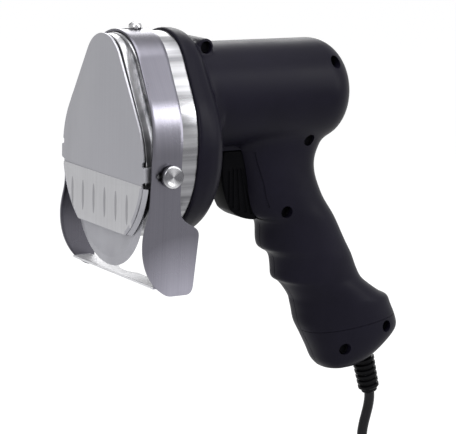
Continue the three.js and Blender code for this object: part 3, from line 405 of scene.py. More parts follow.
def mesh_object(name, bm, mat, sharp=32):
    """A mesh as a new object at the origin, its normals outwards and its hard edges kept."""
    bmesh.ops.remove_doubles(bm, verts=bm.verts, dist=1e-7)
    bmesh.ops.recalc_face_normals(bm, faces=bm.faces)
    shaded(bm, sharp)
    mesh = bpy.data.meshes.new(name)
    bm.to_mesh(mesh)
    bm.free()
    piece = added(name, mesh)
    if mat:
        mesh.materials.append(mat)
    return piece


def lofted(name, rings, mat=None, sharp=32, closed_ends=True):
    """A new piece or cutter skinned through rings."""
    bm = bmesh.new()
    loft(bm, rings, closed_ends)
    return mesh_object(name, bm, mat, sharp)


def baked(piece):
    """The piece with its modifiers made part of its mesh."""
    graph = bpy.context.evaluated_depsgraph_get()
    mesh = bpy.data.meshes.new_from_object(piece.evaluated_get(graph))
    piece.modifiers.clear()
    old = piece.data
    piece.data = mesh
    mesh.name = piece.name
    if old.users == 0:
        bpy.data.meshes.remove(old)
    return piece


def modify(piece, kind, **settings):
    """A new modifier with its settings."""
    step = piece.modifiers.new(kind, kind)
    for label, value in settings.items():
        setattr(step, label, value)
    return step


def combine(piece, others, how="DIFFERENCE"):
    """The piece cut by, or joined with, other closed pieces, which go."""
    for other in others:
        modify(piece, "BOOLEAN", operation=how, solver="MANIFOLD", material_mode="TRANSFER", object=other)
    baked(piece)
    for other in others:
        bpy.data.objects.remove(other)
    return piece


def softened(piece, width, segments=2, angle=40):
    """Edges rounded by a small bevel."""
    modify(piece, "BEVEL", width=width / 1000, segments=segments, limit_method="ANGLE",
           angle_limit=math.radians(angle))
    return resmoothed(baked(piece))


def resmoothed(piece, sharp=32):
    """Smooth shading with the hard edges marked afresh."""
    bm = bmesh.new()
    bm.from_mesh(piece.data)
    shaded(bm, sharp)
    bm.to_mesh(piece.data)
    bm.free()
    return piece


def rod(origin, axis, profile, sides=64):
    """A closed turned solid, as a cutter or a piece."""
    return lofted("rod", lathe(profile, origin, axis, sides))


def block(x0, x1, y0, y1, z0, z1):
    """A closed box, as a cutter or a piece."""
    corners = lambda x: [(x, y0, z0), (x, y1, z0), (x, y1, z1), (x, y0, z1)]
    return lofted("block", [corners(x0), corners(x1)])


def slab(name, outline, y0, y1, mat):
    """An outline in (x, z) made solid from y0 to y1."""
    return lofted(name, [[(x, y, z) for x, z in outline] for y in (y0, y1)], mat)


def bezier(p0, p1, p2, p3, count=14):
    """Points of a cubic curve, its first left out."""
    points = []
    for i in range(1, count + 1):
        t = i / count
        a, b, c, d = (1 - t) ** 3, 3 * t * (1 - t) ** 2, 3 * t * t * (1 - t), t ** 3
        points.append(tuple(a * q + b * r + c * s + d * u for q, r, s, u in zip(p0, p1, p2, p3)))
    return points


def painted(mesh, *mats):
    """The mesh with these finishes and no other."""
    mesh.materials.clear()
    for mat in mats:
        mesh.materials.append(mat)


def hand_over(piece, body, slot, *replaced):
    """The finished piece rides on its body and stands for its nodes."""
    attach(piece, body)
    if replaced:
        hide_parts(*replaced)
    return piece


# Front x and z, back x and z, and half width of the grip's sections, from the barrel down.
GRIP_STATIONS = [
    (50, 8, 116, 12, 15), (50.5, -4, 109.7, -3.3, 16), (54.5, -19, 105, -15.5, 16.8),
    (60.8, -43, 110.6, -34, 18), (71.3, -49, 119.4, -47.5, 18.5), (72.6, -61, 127.2, -61.5, 18.5),
    (74.1, -65, 129.8, -66, 18.5), (81.2, -69.6, 132.8, -71.5, 18.5), (83.1, -77, 136.6, -80, 18.5),
    (84, -84, 140.2, -86, 18.5), (89, -87.3, 144, -89.5, 18.8), (96.6, -97, 155.3, -97, 19.5),
    (97.4, -100, 159.9, -99.2, 19.8), (98.8, -105, 162.6, -104.6, 20), (100.5, -112, 166.2, -112, 20),
    (105, -120, 167.2, -118.5, 20), (110, -129, 161, -125.5, 19), (113.8, -136.6, 150.5, -133.7, 16.4),
    (118, -141, 141.5, -138.6, 12.4),
]
# Name, x, z, and the y of the bore's floor and end.
SCREWS = [("housing_screw_1", 24, 54.6, -12, 13), ("housing_screw_2", 106, 44, -14, 15),
          ("housing_screw_3", 94, -1, -11, 12), ("housing_screw_4", 79.5, -41.5, -11, 12),
          ("cap_screw_1", 123, -127, -12, 10), ("cap_screw_2", 152, -116, -10, 10)]


def grip_solid(inset, count=80, per=4):
    """The hand grip: rounded sections from barrel to heel, with finger grooves in front."""
    rings = []
    rows = smooth_line(GRIP_STATIONS, per)
    for level, (fx, fz, bx, bz, half) in enumerate(rows):
        front, back = Vector((fx, fz)), Vector((bx, bz))
        middle, along = (front + back) / 2, (back - front)
        deep = along.length / 2 - inset
        along.normalize()
        lift = inset if level > len(rows) - 3 * per else 0
        ring = []
        for c, s in around(count):
            across = math.copysign(abs(c) ** 0.9, c) * deep
            y = math.copysign(abs(s) ** 0.8, s) * (half - inset)
            ring.append((middle.x + along.x * across, y, middle.y + along.y * across + lift))
        rings.append(ring)
    return lofted("grip", rings)


def barrel_solid(inset, x0, sides=128):
    """The motor barrel with its rounded rear end."""
    r, end, round_r = BARREL_R - inset, BARREL_X1 - inset, BARREL_ROUND - inset / 2
    profile = [(x0, r)]
    for i in range(25):
        angle = math.pi / 2 * i / 24
        along = end - round_r + round_r * math.sin(angle)
        profile.append((along, r - round_r + round_r * math.cos(angle)))
    return rod((0, 0, MOTOR_Z), (1, 0, 0), profile, sides)


def bell_solid():
    """The bell that holds the gear head, drawn in to the barrel's neck."""
    def ring(x, rounds, grow):
        points = dense_skin(rounds, grow, 200)
        return [(x + SLANT * max(z, 0) * max(1 - x / NECK_X, 0), y, z) for y, z in points]
    steps = [(0, -0.8), (0.25, -0.3), (0.8, 0), (BELL_L - 5, -0.3), (BELL_L, -1.4),
             (BELL_L + 3, -3.2), (BELL_L + 5.5, -6), (BELL_L + 7.5, -9.5)]
    rings = [ring(x, HEAD_ROUNDS, BELL_RIM + less) for x, less in steps]
    rings.append(ring(NECK_X, [(0, MOTOR_Z - 14, BARREL_R + 2), (0, MOTOR_Z, BARREL_R)], 0))
    rings.append(ring(NECK_X + 7, [(0, MOTOR_Z - 4, BARREL_R), (0, MOTOR_Z, BARREL_R)], 0))
    return lofted("bell", rings)


def head_plug(grow, x0, x1):
    """A straight solid of the head's outline."""
    outline = dense_skin(HEAD_ROUNDS, grow, 200)
    return lofted("head_plug", [[(x, y, z) for y, z in outline] for x in (x0, x1)])


def below_seam(drop):
    """Everything below the seam between the grip and its end cap."""
    level = lambda x: SEAM_Z - drop + SEAM_SLOPE * (x - SEAM_X)
    return slab("below_seam", [(0, level(0)), (0, -240), (240, -240), (240, level(240))], -60, 60, None)


def trigger_outline(grow):
    """The trigger's outline in (x, z), grown for its slot."""
    front, top, back, low = 42 - grow, TRIGGER_TOP + grow, 65 + grow, TRIGGER_LOW - grow
    toe = (47.5 - grow, -39.5 - grow)
    outline = [(front, top)]
    outline += bezier((front, top), (front - 2, -18), (front, -30), toe, 24)
    outline += bezier(toe, (52, toe[1] - 4.5), (58, low + 0.4), (back, low), 16)
    return outline + [(back, top)]


def eased(piece, voxel, rounds):
    """One even skin over joined solids, its inner corners filled out and its edges rounded."""
    modify(piece, "REMESH", mode="VOXEL", voxel_size=voxel / 1000)
    modify(piece, "SMOOTH", factor=0.5, iterations=rounds)
    return baked(piece)


FILLET_ROUNDS = 420


def fillet(piece):
    """The hollow between the barrel and the grip's two cheeks, filled out wide."""
    group = piece.vertex_groups.new(name="hollow")
    ease = lambda v, a, b: min(max((v - a) / (b - a), 0), 1)
    for vert in piece.data.vertices:
        x, y, z = vert.co.x * 1000 + GRIP_X, abs(vert.co.y) * 1000, vert.co.z * 1000 + GRIP_Z
        lengthwise = ease(x, 46, 58) * ease(-x, -112, -102)
        weight = lengthwise * ease(y, 5, 10) * ease(z, -30, -14) * ease(-z, -20, -8)
        if weight > 0.01:
            group.add([vert.index], weight, "REPLACE")
    modify(piece, "SMOOTH", factor=0.5, iterations=FILLET_ROUNDS, vertex_group="hollow")
    baked(piece)
    piece.vertex_groups.clear()


LIP_GROOVE_R = 0.7
LIP_LINE = [(59.3, -6.4), (62, -15.5), (64.7, -24.1), (66.6, -32.9), (68.8, -38.7)]


def lip_grooves(shell):
    """A fine groove down each cheek, which sets off the casing's lip beside the trigger."""
    surface = BVHTree.FromObject(shell, bpy.context.evaluated_depsgraph_get())
    grooves = []
    for side in (-1, 1):
        line = []
        for x, z in smooth_line(LIP_LINE, 6):
            spot = surface.ray_cast(place(x, side * 60, z), Vector((0, -side, 0)))[0]
            line.append(Vector((x, spot.y * 1000 + side * 0.25, z)))
        rings = []
        for i, middle in enumerate(line):
            run = (line[min(i + 1, len(line) - 1)] - line[max(i - 1, 0)]).normalized()
            flat = run.cross(Vector((0, 1, 0))).normalized()
            out = flat.cross(run)
            angles = [math.pi * k / 6 for k in range(12)]
            rim = [math.cos(a) * flat + math.sin(a) * out for a in angles]
            rings.append([tuple(middle + LIP_GROOVE_R * spoke) for spoke in rim])
        grooves.append(lofted("lip_groove", rings))
    return grooves


def copied(piece):
    """A second object of the same mesh."""
    return added(piece.name, piece.data.copy())


def bodywork():
    """The housing halves and the end cap: one eased outside, hollowed, slotted, bored, parted."""
    neck_boss = rod((24, 0, 54.6), (0, 1, 0), [(-17, 5), (17, 5)])
    shell = combine(bell_solid(), [barrel_solid(0, NECK_X - 6), grip_solid(0), neck_boss], "UNION")
    eased(shell, 0.8, 12)
    fillet(shell)
    combine(shell, [block(38.5, 56, -8.4, 8.4, -5.2, 2)], "UNION")
    core = copied(shell)
    modify(core, "DISPLACE", strength=-0.0006, mid_level=0)
    parting = combine(block(-50, 240, -0.2, 0.2, -200, 100), [baked(core)])
    hollow = combine(barrel_solid(WALL, NECK_X - 8), [
        rod((0, 0, MOTOR_Z), (1, 0, 0), [(HEAD_BACK, MOTOR_R + GAP), (86, MOTOR_R + GAP)], 96),
        head_plug(GAP, -1, HEAD_BACK + GAP),
        head_plug(-HEAD_WALL - 2, HEAD_BACK, BELL_L),
        grip_solid(WALL, 48, 2),
    ], "UNION")
    boss = [(-40, 4.5), (40, 4.5)]
    combine(hollow, [rod((x, 0, z), (0, 1, 0), boss, 32) for _, x, z, _, _ in SCREWS[1:]])
    slot = TRIGGER_HALF + RUN
    cuts = [parting, hollow, *lip_grooves(shell)]
    cuts.append(slab("slot", trigger_outline(RUN), -slot, slot, None))
    cuts.append(block(64, 70.5, -slot, slot, TRIGGER_LOW - RUN, TRIGGER_TOP + RUN))
    shank = 1.5 + GAP
    for _, x, z, floor, end in SCREWS:
        bore = [(floor - 60, 3.5), (floor, 3.5), (floor, shank), (end, shank)]
        cuts.append(rod((x, 0, z), (0, 1, 0), bore, 40))
    combine(shell, cuts)
    for name, side in (("left", -1), ("right", 1)):
        near, far = sorted((0, side * 200))
        half = combine(copied(shell), [block(-200, 200, near, far, -200, 200)], "INTERSECT")
        half.name = "housing_" + name + "_moulding"
        combine(half, [below_seam(0)])
        mould_finish(half)
        hand_over(half, "housing", "black_plastic", "housing_" + name)
    cap = combine(shell, [below_seam(GAP)], "INTERSECT")
    cap.name = "end_cap_moulding"
    neck = [(-20, 7.6), (GAP, 7.6), (GAP, 5.6), (5.7, 5.6), (5.7, 7.2), (30, 7.2)]
    combine(cap, [rod(RELIEF_TOP, RELIEF_END - RELIEF_TOP, neck, 48)])
    mould_finish(cap)
    hand_over(cap, "housing", "black_plastic", "end_cap")


def mould_finish(piece):
    """The body's finish over the whole piece, smooth but for its hard edges."""
    painted(piece.data, BODY)
    resmoothed(piece, 38)


def gear_head():
    """The turned aluminium head: a cup with a raised rim and a spindle hub."""
    def rings(rounds, steps):
        return [[(x, y, z) for y, z in dense_skin(rounds, grow)] for x, grow in steps]
    outside = [(HEAD_FRONT, -0.8), (HEAD_FRONT + 0.25, -0.25), (HEAD_FRONT + 0.8, 0), (HEAD_BACK, 0)]
    inside = [(HEAD_BACK, -HEAD_WALL), (HEAD_FRONT + HEAD_WALL, -HEAD_WALL)]
    cup = lofted("gear_head_cup", rings(HEAD_ROUNDS, outside + inside), RING)
    section = [(-23.5, 0), (-27.7, 0), (-28, -0.3), (-28, -2.2), (-27.7, -2.5), (-23.5, -2.5), (-23.5, 0)]
    rim = lofted("rim", rings([(0, -6, 45), (0, 41.5, 20.8)], section), RIM, closed_ends=False)
    combine(rim, [block(-30, -23, -60, 60, -60, -16)])
    hub = rod((0, 0, BLADE_Z), (1, 0, 0), [(-21, 12), (-14.5, 12)])
    combine(cup, [hub, rim], "UNION")
    combine(cup, [
        rod((0, 0, BLADE_Z), (1, 0, 0), [(-25, 5), (-21, 5)]),
        rod((0, 0, BLADE_Z), (1, 0, 0), [(-22.5, 9.3), (-13, 9.3)]),
        rod((SCREW_X, 0, SCREW_Z), (0, 1, 0), [(-REACH, SLOT_R), (REACH, SLOT_R)], 32),
        rod((TOP_SCREW_X, 0, 0), (0, 0, 1), [(40, SLOT_R), (70, SLOT_R)], 32),
    ])
    resmoothed(cup)
    hand_over(cup, "housing", "cast_aluminium", "gear_head")


def guard_edges(tab):
    """Front and rear edge of one side of the guard: x against z, from the crown to the foot."""
    bulge = -31.6
    front = [(-28 + SLANT * 70, 70), (-28, 0), (-28, -22)]
    front += bezier((-28, -22), (-28, -32), (bulge, -35), (bulge, -46))
    front += bezier((bulge, -46), (bulge, -58), (-26.5, -68), (-19, -73))
    front += bezier((-19, -73), (-17, -74.5), (-15.5, GUARD_FOOT_Z), (-12.5, GUARD_FOOT_Z))
    rear = [(-10 + SLANT * 70, 70), (-10, 0), (-10, -20)]
    if tab:
        rear += bezier((-10, -20), (-10, -24), (-9.6, -26), (-9, -31))
        rear += bezier((-9, -31), (-7, -35), (-4, -36), (-1, -37.6))
        rear += bezier((-1, -37.6), (1.5, -39), (2.7, -40.5), (2.6, -43.5))
        rear += [(0.4, -71)]
        rear += bezier((0.4, -71), (0, -74), (-1.5, GUARD_FOOT_Z), (-4, GUARD_FOOT_Z))
    else:
        rear += bezier((-10, -20), (-10, -24), (-9.6, -26), (-9.6, -31))
        rear += [(-10.5, -71), (-12, GUARD_FOOT_Z)]
    return front, rear


def at_height(edge, z):
    """An edge's x at a height."""
    heights = np.array([p[1] for p in edge])[::-1]
    return float(np.interp(z, heights, np.array([p[0] for p in edge])[::-1]))


BAR_FRONT = -24
BAR_REAR = -13
BAR_HALF = 46.9
BAR_LEVELS = (-70.6, -69.4)
NOTCH_R = 22
NOTCH_DEEP = 3.5


def guard():
    """The sheet guard: an arch over the head, two side plates and the bar under the blade."""
    over = even(skin(HEAD_ROUNDS, GUARD_CLEAR + GUARD_T, 720)[:361], 90)
    drop = [GUARD_FOOT_Z * (0.5 - 0.5 * math.cos(math.pi * i / 70)) ** 0.8 for i in range(1, 71)]
    r = HEAD_R + GUARD_CLEAR + GUARD_T
    side = lambda z: r + (GUARD_FOOT_HALF - r) * z / (GUARD_FOOT_Z - 1)
    line = [(side(z), z) for z in reversed(drop)] + over + [(-side(z), z) for z in drop]
    edges = {1: guard_edges(False), -1: guard_edges(True)}
    bm = bmesh.new()
    columns = 10
    rows = []
    for y, z in line:
        front, rear = edges[1 if y > 0 else -1]
        x0, x1 = at_height(front, z), at_height(rear, z)
        across = [x0 + (x1 - x0) * k / columns for k in range(columns + 1)]
        rows.append([bm.verts.new(place(x, y, z)) for x in across])
    for low, high in zip(rows, rows[1:]):
        for k in range(columns):
            bm.faces.new((low[k], low[k + 1], high[k + 1], high[k]))
    sheet = mesh_object("guard_sheet", bm, SHEET)
    bm = bmesh.new()
    bm.from_mesh(sheet.data)
    crown = max(bm.faces, key=lambda f: f.calc_center_median().z)
    if crown.normal.z < 0:
        bmesh.ops.reverse_faces(bm, faces=bm.faces)
    bm.to_mesh(sheet.data)
    bm.free()
    modify(sheet, "SOLIDIFY", thickness=GUARD_T / 1000, offset=-1, use_even_offset=True)
    baked(sheet)

    notch = []
    for i in range(25):
        angle = math.radians(180 - 34 + 68 * i / 24)
        x = BAR_REAR + NOTCH_R - NOTCH_DEEP + NOTCH_R * math.cos(angle)
        notch.append((x, NOTCH_R * math.sin(angle)))
    notch = [p for p in notch if p[0] <= BAR_REAR]
    outline = [(BAR_FRONT, -BAR_HALF), (BAR_FRONT, BAR_HALF), (BAR_REAR, BAR_HALF), *notch,
               (BAR_REAR, -BAR_HALF)]
    bar = lofted("guard_bar", [[(x, y, z) for x, y in outline] for z in BAR_LEVELS], SHEET)
    combine(sheet, [bar], "UNION")

    slots = []
    for lean, along in ((0, "side"), (TOP_SCREW_X - SCREW_X, "top")):
        x0, x1 = SCREW_X - SLIDE_BACK + lean, SCREW_X + SLIDE_FRONT + lean
        loop = []
        for i in range(49):
            angle = math.pi / 2 + math.pi * i / 24
            end = x0 if i <= 24 else x1
            loop.append((end + SLOT_R * math.cos(angle), SLOT_R * math.sin(angle)))
        loop = loop[:48]
        if along == "side":
            rings = [[(x, y, SCREW_Z + v) for x, v in loop] for y in (-REACH, REACH)]
        else:
            rings = [[(x, v, z) for x, v in loop] for z in (58, 70)]
        slots.append(lofted("slot", rings))
    combine(sheet, slots)
    softened(sheet, 0.22, 2, 50)
    # The bar's faces take the paler copy of the guard steel: painted light.
    painted(sheet.data, SHEET, PAINTED_LIGHT_BAR)
    for face in sheet.data.polygons:
        z = face.center.z * 1000 + GRIP_Z
        on_bar = BAR_LEVELS[0] - 0.2 < z < BAR_LEVELS[1] + 0.2 and abs(face.center.y) < 0.0462
        face.material_index = 1 if on_bar else 0
    sheet.name = "thickness_guard_sheet"
    hand_over(sheet, "guard", "sheet_steel", "thickness_guard")


COVER_FOOT_Z = -44
COVER_FOOT_HALF = 27.3
EAR_HALF = 48.2
EAR_NECK_HALF = 45.2
RIB_COUNT = 6
RIB_PITCH = 12.8
RIB_Y = 34.1
RIB_Z = -29.6


def cover_plate():
    """The flat cover with its ears, its folded lower panel and the pressed ribs."""
    rounds = [(0, -6, 47), (0, 41.5, 21.3)]
    outline = []
    for y, z in dense_skin(rounds, 0, 240):
        wide = y
        if z < COVER_FOOT_Z:
            wide = math.copysign(min(abs(y), COVER_FOOT_HALF), y)
        if -15.2 < z < -1.2:
            wide = math.copysign(EAR_HALF if -12.4 < z < -3.9 else EAR_NECK_HALF, y)
        outline.append((wide, max(z, COVER_FOOT_Z)))
    outline = [p for i, p in enumerate(outline) if math.dist(p, outline[i - 1]) > 0.05]
    plate = lofted("cover", [[(x, y, z) for y, z in outline] for x in (COVER_X, COVER_BACK)], PLATE)
    hooks = []
    for side in (-1, 1):
        y0, y1 = sorted((side * 47, side * EAR_HALF))
        hooks.append(block(COVER_X + 0.3, HEAD_FRONT - 0.3, y0, y1, -12.2, -4.1))
    combine(plate, hooks, "UNION")
    softened(plate, 0.25, 2, 50)
    plate.name = "cover_plate_sheet"
    hand_over(plate, "housing", "sheet_steel", "cover_plate")

    lower = [(y, max(z, -43.6)) for y, z in dense_skin(rounds, -0.9, 240) if z < -13]
    lower = [p for p in lower if p[1] > -43.6 or abs(p[0]) < 27]
    sides = (COVER_X - 0.42, COVER_X + 0.2)
    panel = lofted("pressed_panel", [[(x, y, z) for y, z in lower] for x in sides], PANEL)
    softened(panel, 0.3, 3, 40)
    combine(panel, [flared_edge(-1), flared_edge(1)], "UNION")
    combine(panel, [rib_row("pressed_ribs", PANEL, -0.1, 3.6, 2.8, 0.62, 9.5)], "UNION")
    # The grooves beside the ribs take the darker steel: painted shade along each rib.
    combine(panel, [rib_row("rib_shades", PAINTED_RIB_SHADE, -0.42, 0, 1.5, 0.42, 8.5)])
    resmoothed(panel, 40)
    hand_over(panel, "housing", "sheet_steel")


def flared_edge(side):
    """The panel's side edge, flared back towards the blade."""
    section = [(-31.5, 45.4), (-31.35, 46.3), (-27.9, 48.5), (-27.9, 47.7), (-30.6, 45)]
    rings = []
    for i in range(41):
        angle = math.radians(12 + i)
        rings.append([(x, side * r * math.cos(angle), -6 - r * math.sin(angle)) for x, r in section])
    return lofted("flared_edge", rings, PLATE)


def layout_tree(name, floats, objects):
    """A new node tree with named inputs, its entrance and each input's identifier."""
    tree = bpy.data.node_groups.new(name, "GeometryNodeTree")
    for way in ("INPUT", "OUTPUT"):
        tree.interface.new_socket("Geometry", in_out=way, socket_type="NodeSocketGeometry")
    sockets = {}
    for label, default in floats.items():
        made = tree.interface.new_socket(label, in_out="INPUT", socket_type="NodeSocketFloat")
        made.default_value = default / 1000
        sockets[label] = made.identifier
    for label, kind in objects.items():
        made = tree.interface.new_socket(label, in_out="INPUT", socket_type="NodeSocket" + kind)
        sockets[label] = made.identifier
    return tree, node(tree, "NodeGroupInput"), sockets


def set_out(tree, enter, points, shape):
    """The shape on every point, made real and given its finish."""
    leave = node(tree, "NodeGroupOutput")
    spread = node(tree, "GeometryNodeInstanceOnPoints")
    join(points, spread.inputs["Points"])
    join(shape, spread.inputs["Instance"])
    real = node(tree, "GeometryNodeRealizeInstances")
    join(spread.outputs["Instances"], real.inputs["Geometry"])
    paint = node(tree, "GeometryNodeSetMaterial")
    join(real.outputs["Geometry"], paint.inputs["Geometry"])
    join(enter.outputs["Finish"], paint.inputs["Material"])
    join(paint.outputs["Geometry"], leave.inputs["Geometry"])


def rib_row(name, mat, lift, shift, width, height, length):
    """A row of long ribs or grooves, half sizes in millimetres, set out along a line."""
    sizes = {"Pitch": -RIB_PITCH, "Width": width, "Height": height, "Length": length}
    tree, enter, sockets = layout_tree(name, sizes, {"Finish": "Material"})
    start = place(COVER_X + lift, RIB_Y - shift, RIB_Z)
    line = node(tree, "GeometryNodeMeshLine", Count=RIB_COUNT, Start_Location=start)
    step = node(tree, "ShaderNodeCombineXYZ")
    join(enter.outputs["Pitch"], step.inputs["Y"])
    join(step.outputs["Vector"], line.inputs["Offset"])
    ball = node(tree, "GeometryNodeMeshUVSphere", Segments=20, Rings=14, Radius=1.0)
    size = node(tree, "ShaderNodeCombineXYZ")
    for label, axis in (("Height", "X"), ("Width", "Y"), ("Length", "Z")):
        join(enter.outputs[label], size.inputs[axis])
    shape = node(tree, "GeometryNodeTransform")
    join(ball.outputs["Mesh"], shape.inputs["Geometry"])
    join(size.outputs["Vector"], shape.inputs["Scale"])
    set_out(tree, enter, line.outputs["Mesh"], shape.outputs["Geometry"])
    row = added(name, bpy.data.meshes.new(name))
    grown = modify(row, "NODES", node_group=tree)
    grown[sockets["Finish"]] = mat
    return baked(row)


def blade():
    """The round blade: a ground disc with a bevelled edge."""
    profile = [(BLADE_BACK, 4.3), (BLADE_X, 4.3), (BLADE_X, 35.2), (BLADE_X + 0.12, 35.8),
               (BLADE_BACK - 0.12, 39.85), (BLADE_BACK - 0.03, 40), (BLADE_BACK, 39.9), (BLADE_BACK, 4.3)]
    rings = lathe(profile, (0, 0, BLADE_Z), (1, 0, 0), 192)
    disc = lofted("blade_disc", rings, GROUND, 6, closed_ends=False)
    hand_over(disc, "blade_unit", "blade_steel", "blade")


def knobs():
    """The two thumb screws with turned, dished faces, and the top screw with its domed head."""
    seat = HEAD_R + GUARD_CLEAR + GUARD_T + 0.4
    tip = math.sqrt(HEAD_R ** 2 - SCREW_Z ** 2) - HEAD_WALL
    profile = [(tip, 1.4), (tip + 0.6, 2), (seat, 2), (seat, 5.5), (seat + 0.4, 6), (seat + 0.9, 6.2),
               (seat + 2.5, 6.2), (seat + 3.1, 6), (seat + 3.5, 5.5), (seat + 3.6, 5), (seat + 3.55, 4.4),
               (seat + 3.2, 3.9), (seat + 3.1, 2.4), (seat + 3.0, 0.02)]
    both = (("thumb_screw_left", -1, "thumb_left"), ("thumb_screw_right", 1, "thumb_right"))
    for name, side, body in both:
        knob = lofted(name + "_knob", lathe(profile, (SCREW_X, 0, SCREW_Z), (0, side, 0), 72), KNOB, 40)
        hand_over(knob, body, "machined_steel", name)
    crown = HEAD_TOP + GUARD_CLEAR + GUARD_T + 0.4
    dome = [(HEAD_TOP - HEAD_WALL, 2), (crown, 2), (crown, 3.4), (crown + 0.2, 3.6), (crown + 1.4, 3.55),
            (crown + 2.2, 3.1), (crown + 2.75, 2.2), (crown + 3, 1), (crown + 3, 0.02)]
    screw = lofted("guard_top_screw_head", lathe(dome, (TOP_SCREW_X, 0, 0), (0, 0, 1), 56), CROWN, 40)
    slot = block(TOP_SCREW_X - 5, TOP_SCREW_X + 5, -0.5, 0.5, crown + 1.6, crown + 4)
    combine(screw, [slot])
    resmoothed(screw, 40)
    hand_over(screw, "housing", "machined_steel", "guard_top_screw")


TRIGGER_FINS = [((45.4, -15), (45.6, -35)), ((48.1, -14.2), (48.7, -38.5)),
                ((50.5, -14.3), (52.8, -40)), ((52.6, -14.5), (57.6, -41.5)),
                ((54.2, -14.6), (61.7, -42.5))]


def trigger():
    """The trigger: a rounded lever with upright finger grooves on both cheeks."""
    lever = slab("trigger_lever", trigger_outline(0), -TRIGGER_HALF, TRIGGER_HALF, SOFT_BLACK)
    softened(lever, 1.6, 4, 50)
    grooves = []
    for side in (-1, 1):
        for high, low in TRIGGER_FINS:
            run = Vector((low[0] - high[0], 0, low[1] - high[1]))
            taper = [(0, 0.3), (2.5, 0.95), (run.length, 0.95)]
            grooves.append(rod((high[0], side * 8.35, high[1]), run, taper, 16))
    combine(lever, grooves)
    resmoothed(lever, 35)
    hand_over(lever, "trigger", "dark_plastic", "trigger")


def strain_relief():
    """The ribbed sleeve that guards the cord where it leaves the end cap."""
    length = (RELIEF_END - RELIEF_TOP).length
    bore = CORD_D / 2 + 0.6
    start = 6
    ribs = 6
    tip = 1.4
    pitch = (length - tip - start) / ribs
    profile = [(-2, bore), (-2, 7), (-1.8, 7.2), (0, 7.2), (0, 5.2), (start, 5.2)]
    for i in range(ribs):
        r = 6.8 - 0.4 * i / (ribs - 1)
        h = start + i * pitch
        profile += [(h + 0.02, r - 0.9), (h + 0.1, r - 0.3), (h + 0.4, r), (h + pitch * 0.52, r),
                    (h + pitch * 0.62, r - 0.3), (h + pitch * 0.66, r - 1.4), (h + pitch * 0.97, r - 1.4)]
    profile += [(length - tip, 4.8), (length - 0.4, 4.8), (length, 4.4), (length, bore), (-2, bore)]
    rings = lathe(profile, RELIEF_TOP, RELIEF_END - RELIEF_TOP, 64)
    sleeve = lofted("strain_relief_sleeve", rings, GLOSS_BLACK, 40, closed_ends=False)
    hand_over(sleeve, "housing", "dark_plastic", "strain_relief")


# x, z, and the share of the way over to the coil's near layer.
CORD_ROUTE = [
    (146.8, -133.3, 0), (149.1, -142, 0), (151.6, -151.3, 0), (153.6, -159.3, 0), (154, -164.3, 0),
    (153.4, -169.3, 0), (152.1, -174.5, 0), (150.5, -180.5, 0), (149.6, -187, 0), (150.5, -194, 0),
    (153.2, -200.5, 0.05), (159.2, -207.7, 0.2), (165.2, -214.9, 0.4), (168.4, -223.7, 0.6),
    (168.4, -233.1, 0.8), (165.2, -241.9, 0.93), (159.2, -249.1, 1), (151.1, -253.8, 1),
    (146, -255.2, 1), (140.5, -255.5, 1),
]
COIL_TURNS_IN = 3.25
COIL_TURNS_OUT = 3.5
COIL_TAIL = 42


def smooth_line(points, per=4):
    """A centripetal curve through points, as the solid's cord has."""
    points = [np.array(p, dtype=float) for p in points]
    full = [2 * points[0] - points[1], *points, 2 * points[-1] - points[-2]]
    line = []
    for p0, p1, p2, p3 in zip(full, full[1:], full[2:], full[3:]):
        knots = [0.0]
        for a, b in ((p0, p1), (p1, p2), (p2, p3)):
            knots.append(knots[-1] + max(np.linalg.norm(b - a), 1e-6) ** 0.5)
        for i in range(per):
            t = knots[1] + (knots[2] - knots[1]) * i / per
            mix = lambda a, b, u, v: a * (v - t) / (v - u) + b * (t - u) / (v - u)
            a1 = mix(p0, p1, knots[0], knots[1])
            a2 = mix(p1, p2, knots[1], knots[2])
            a3 = mix(p2, p3, knots[2], knots[3])
            b1 = mix(a1, a2, knots[0], knots[2])
            b2 = mix(a2, a3, knots[1], knots[3])
            line.append(mix(b1, b2, knots[1], knots[2]))
    line.append(points[-1])
    return line


def cord():
    """The mains cord in one run: out of the sleeve, down, round the tied coil and on to the plug."""
    layer = COIL_PITCH / 2
    line = smooth_line([(x, -share * layer, z) for x, z, share in CORD_ROUTE])
    end_x, end_z = CORD_ROUTE[-1][:2]
    middle_x, middle_z = end_x - 0.4 - CORD_D, end_z - COIL_R
    turns = COIL_TURNS_IN + 0.5 + COIL_TURNS_OUT
    steps = round(turns * 48)
    for i in range(steps + 1):
        turn = turns * i / steps
        across = min(max((turn - COIL_TURNS_IN) / 0.5, 0), 1)
        grown = COIL_PITCH * max(turn - COIL_TURNS_IN - 0.5, 0)
        r = COIL_R - COIL_PITCH * min(turn, COIL_TURNS_IN) + grown - layer * math.sin(math.pi * across)
        y = -layer + 2 * layer * across * across * (3 - 2 * across)
        angle = math.pi / 2 + 2 * math.pi * turn
        line.append((middle_x + r * math.cos(angle), y, middle_z + r * math.sin(angle)))
    last = line[-1]
    for drop in (8, 18, 30, COIL_TAIL):
        line.append((last[0], last[1], last[2] - drop))
    points = [place(*p) for p in line]
    curve = bpy.data.curves.new("mains_cord", "CURVE")
    curve.dimensions = "3D"
    curve.bevel_depth = CORD_D / 2000
    curve.bevel_resolution = 5
    curve.use_fill_caps = True
    spline = curve.splines.new("POLY")
    spline.points.add(len(points) - 1)
    for knot, point in zip(spline.points, points):
        knot.co = (*point, 1)
        knot.radius = 1
    lead = added("mains_cord", curve)
    curve.materials.append(JACKET)
    hand_over(lead, "housing", "cord_jacket", "cord", "cord_coil")
    length = sum((b - a).length for a, b in zip(points, points[1:]))
    return lead, length, points[0], Vector(line[-1]), (middle_x, middle_z)


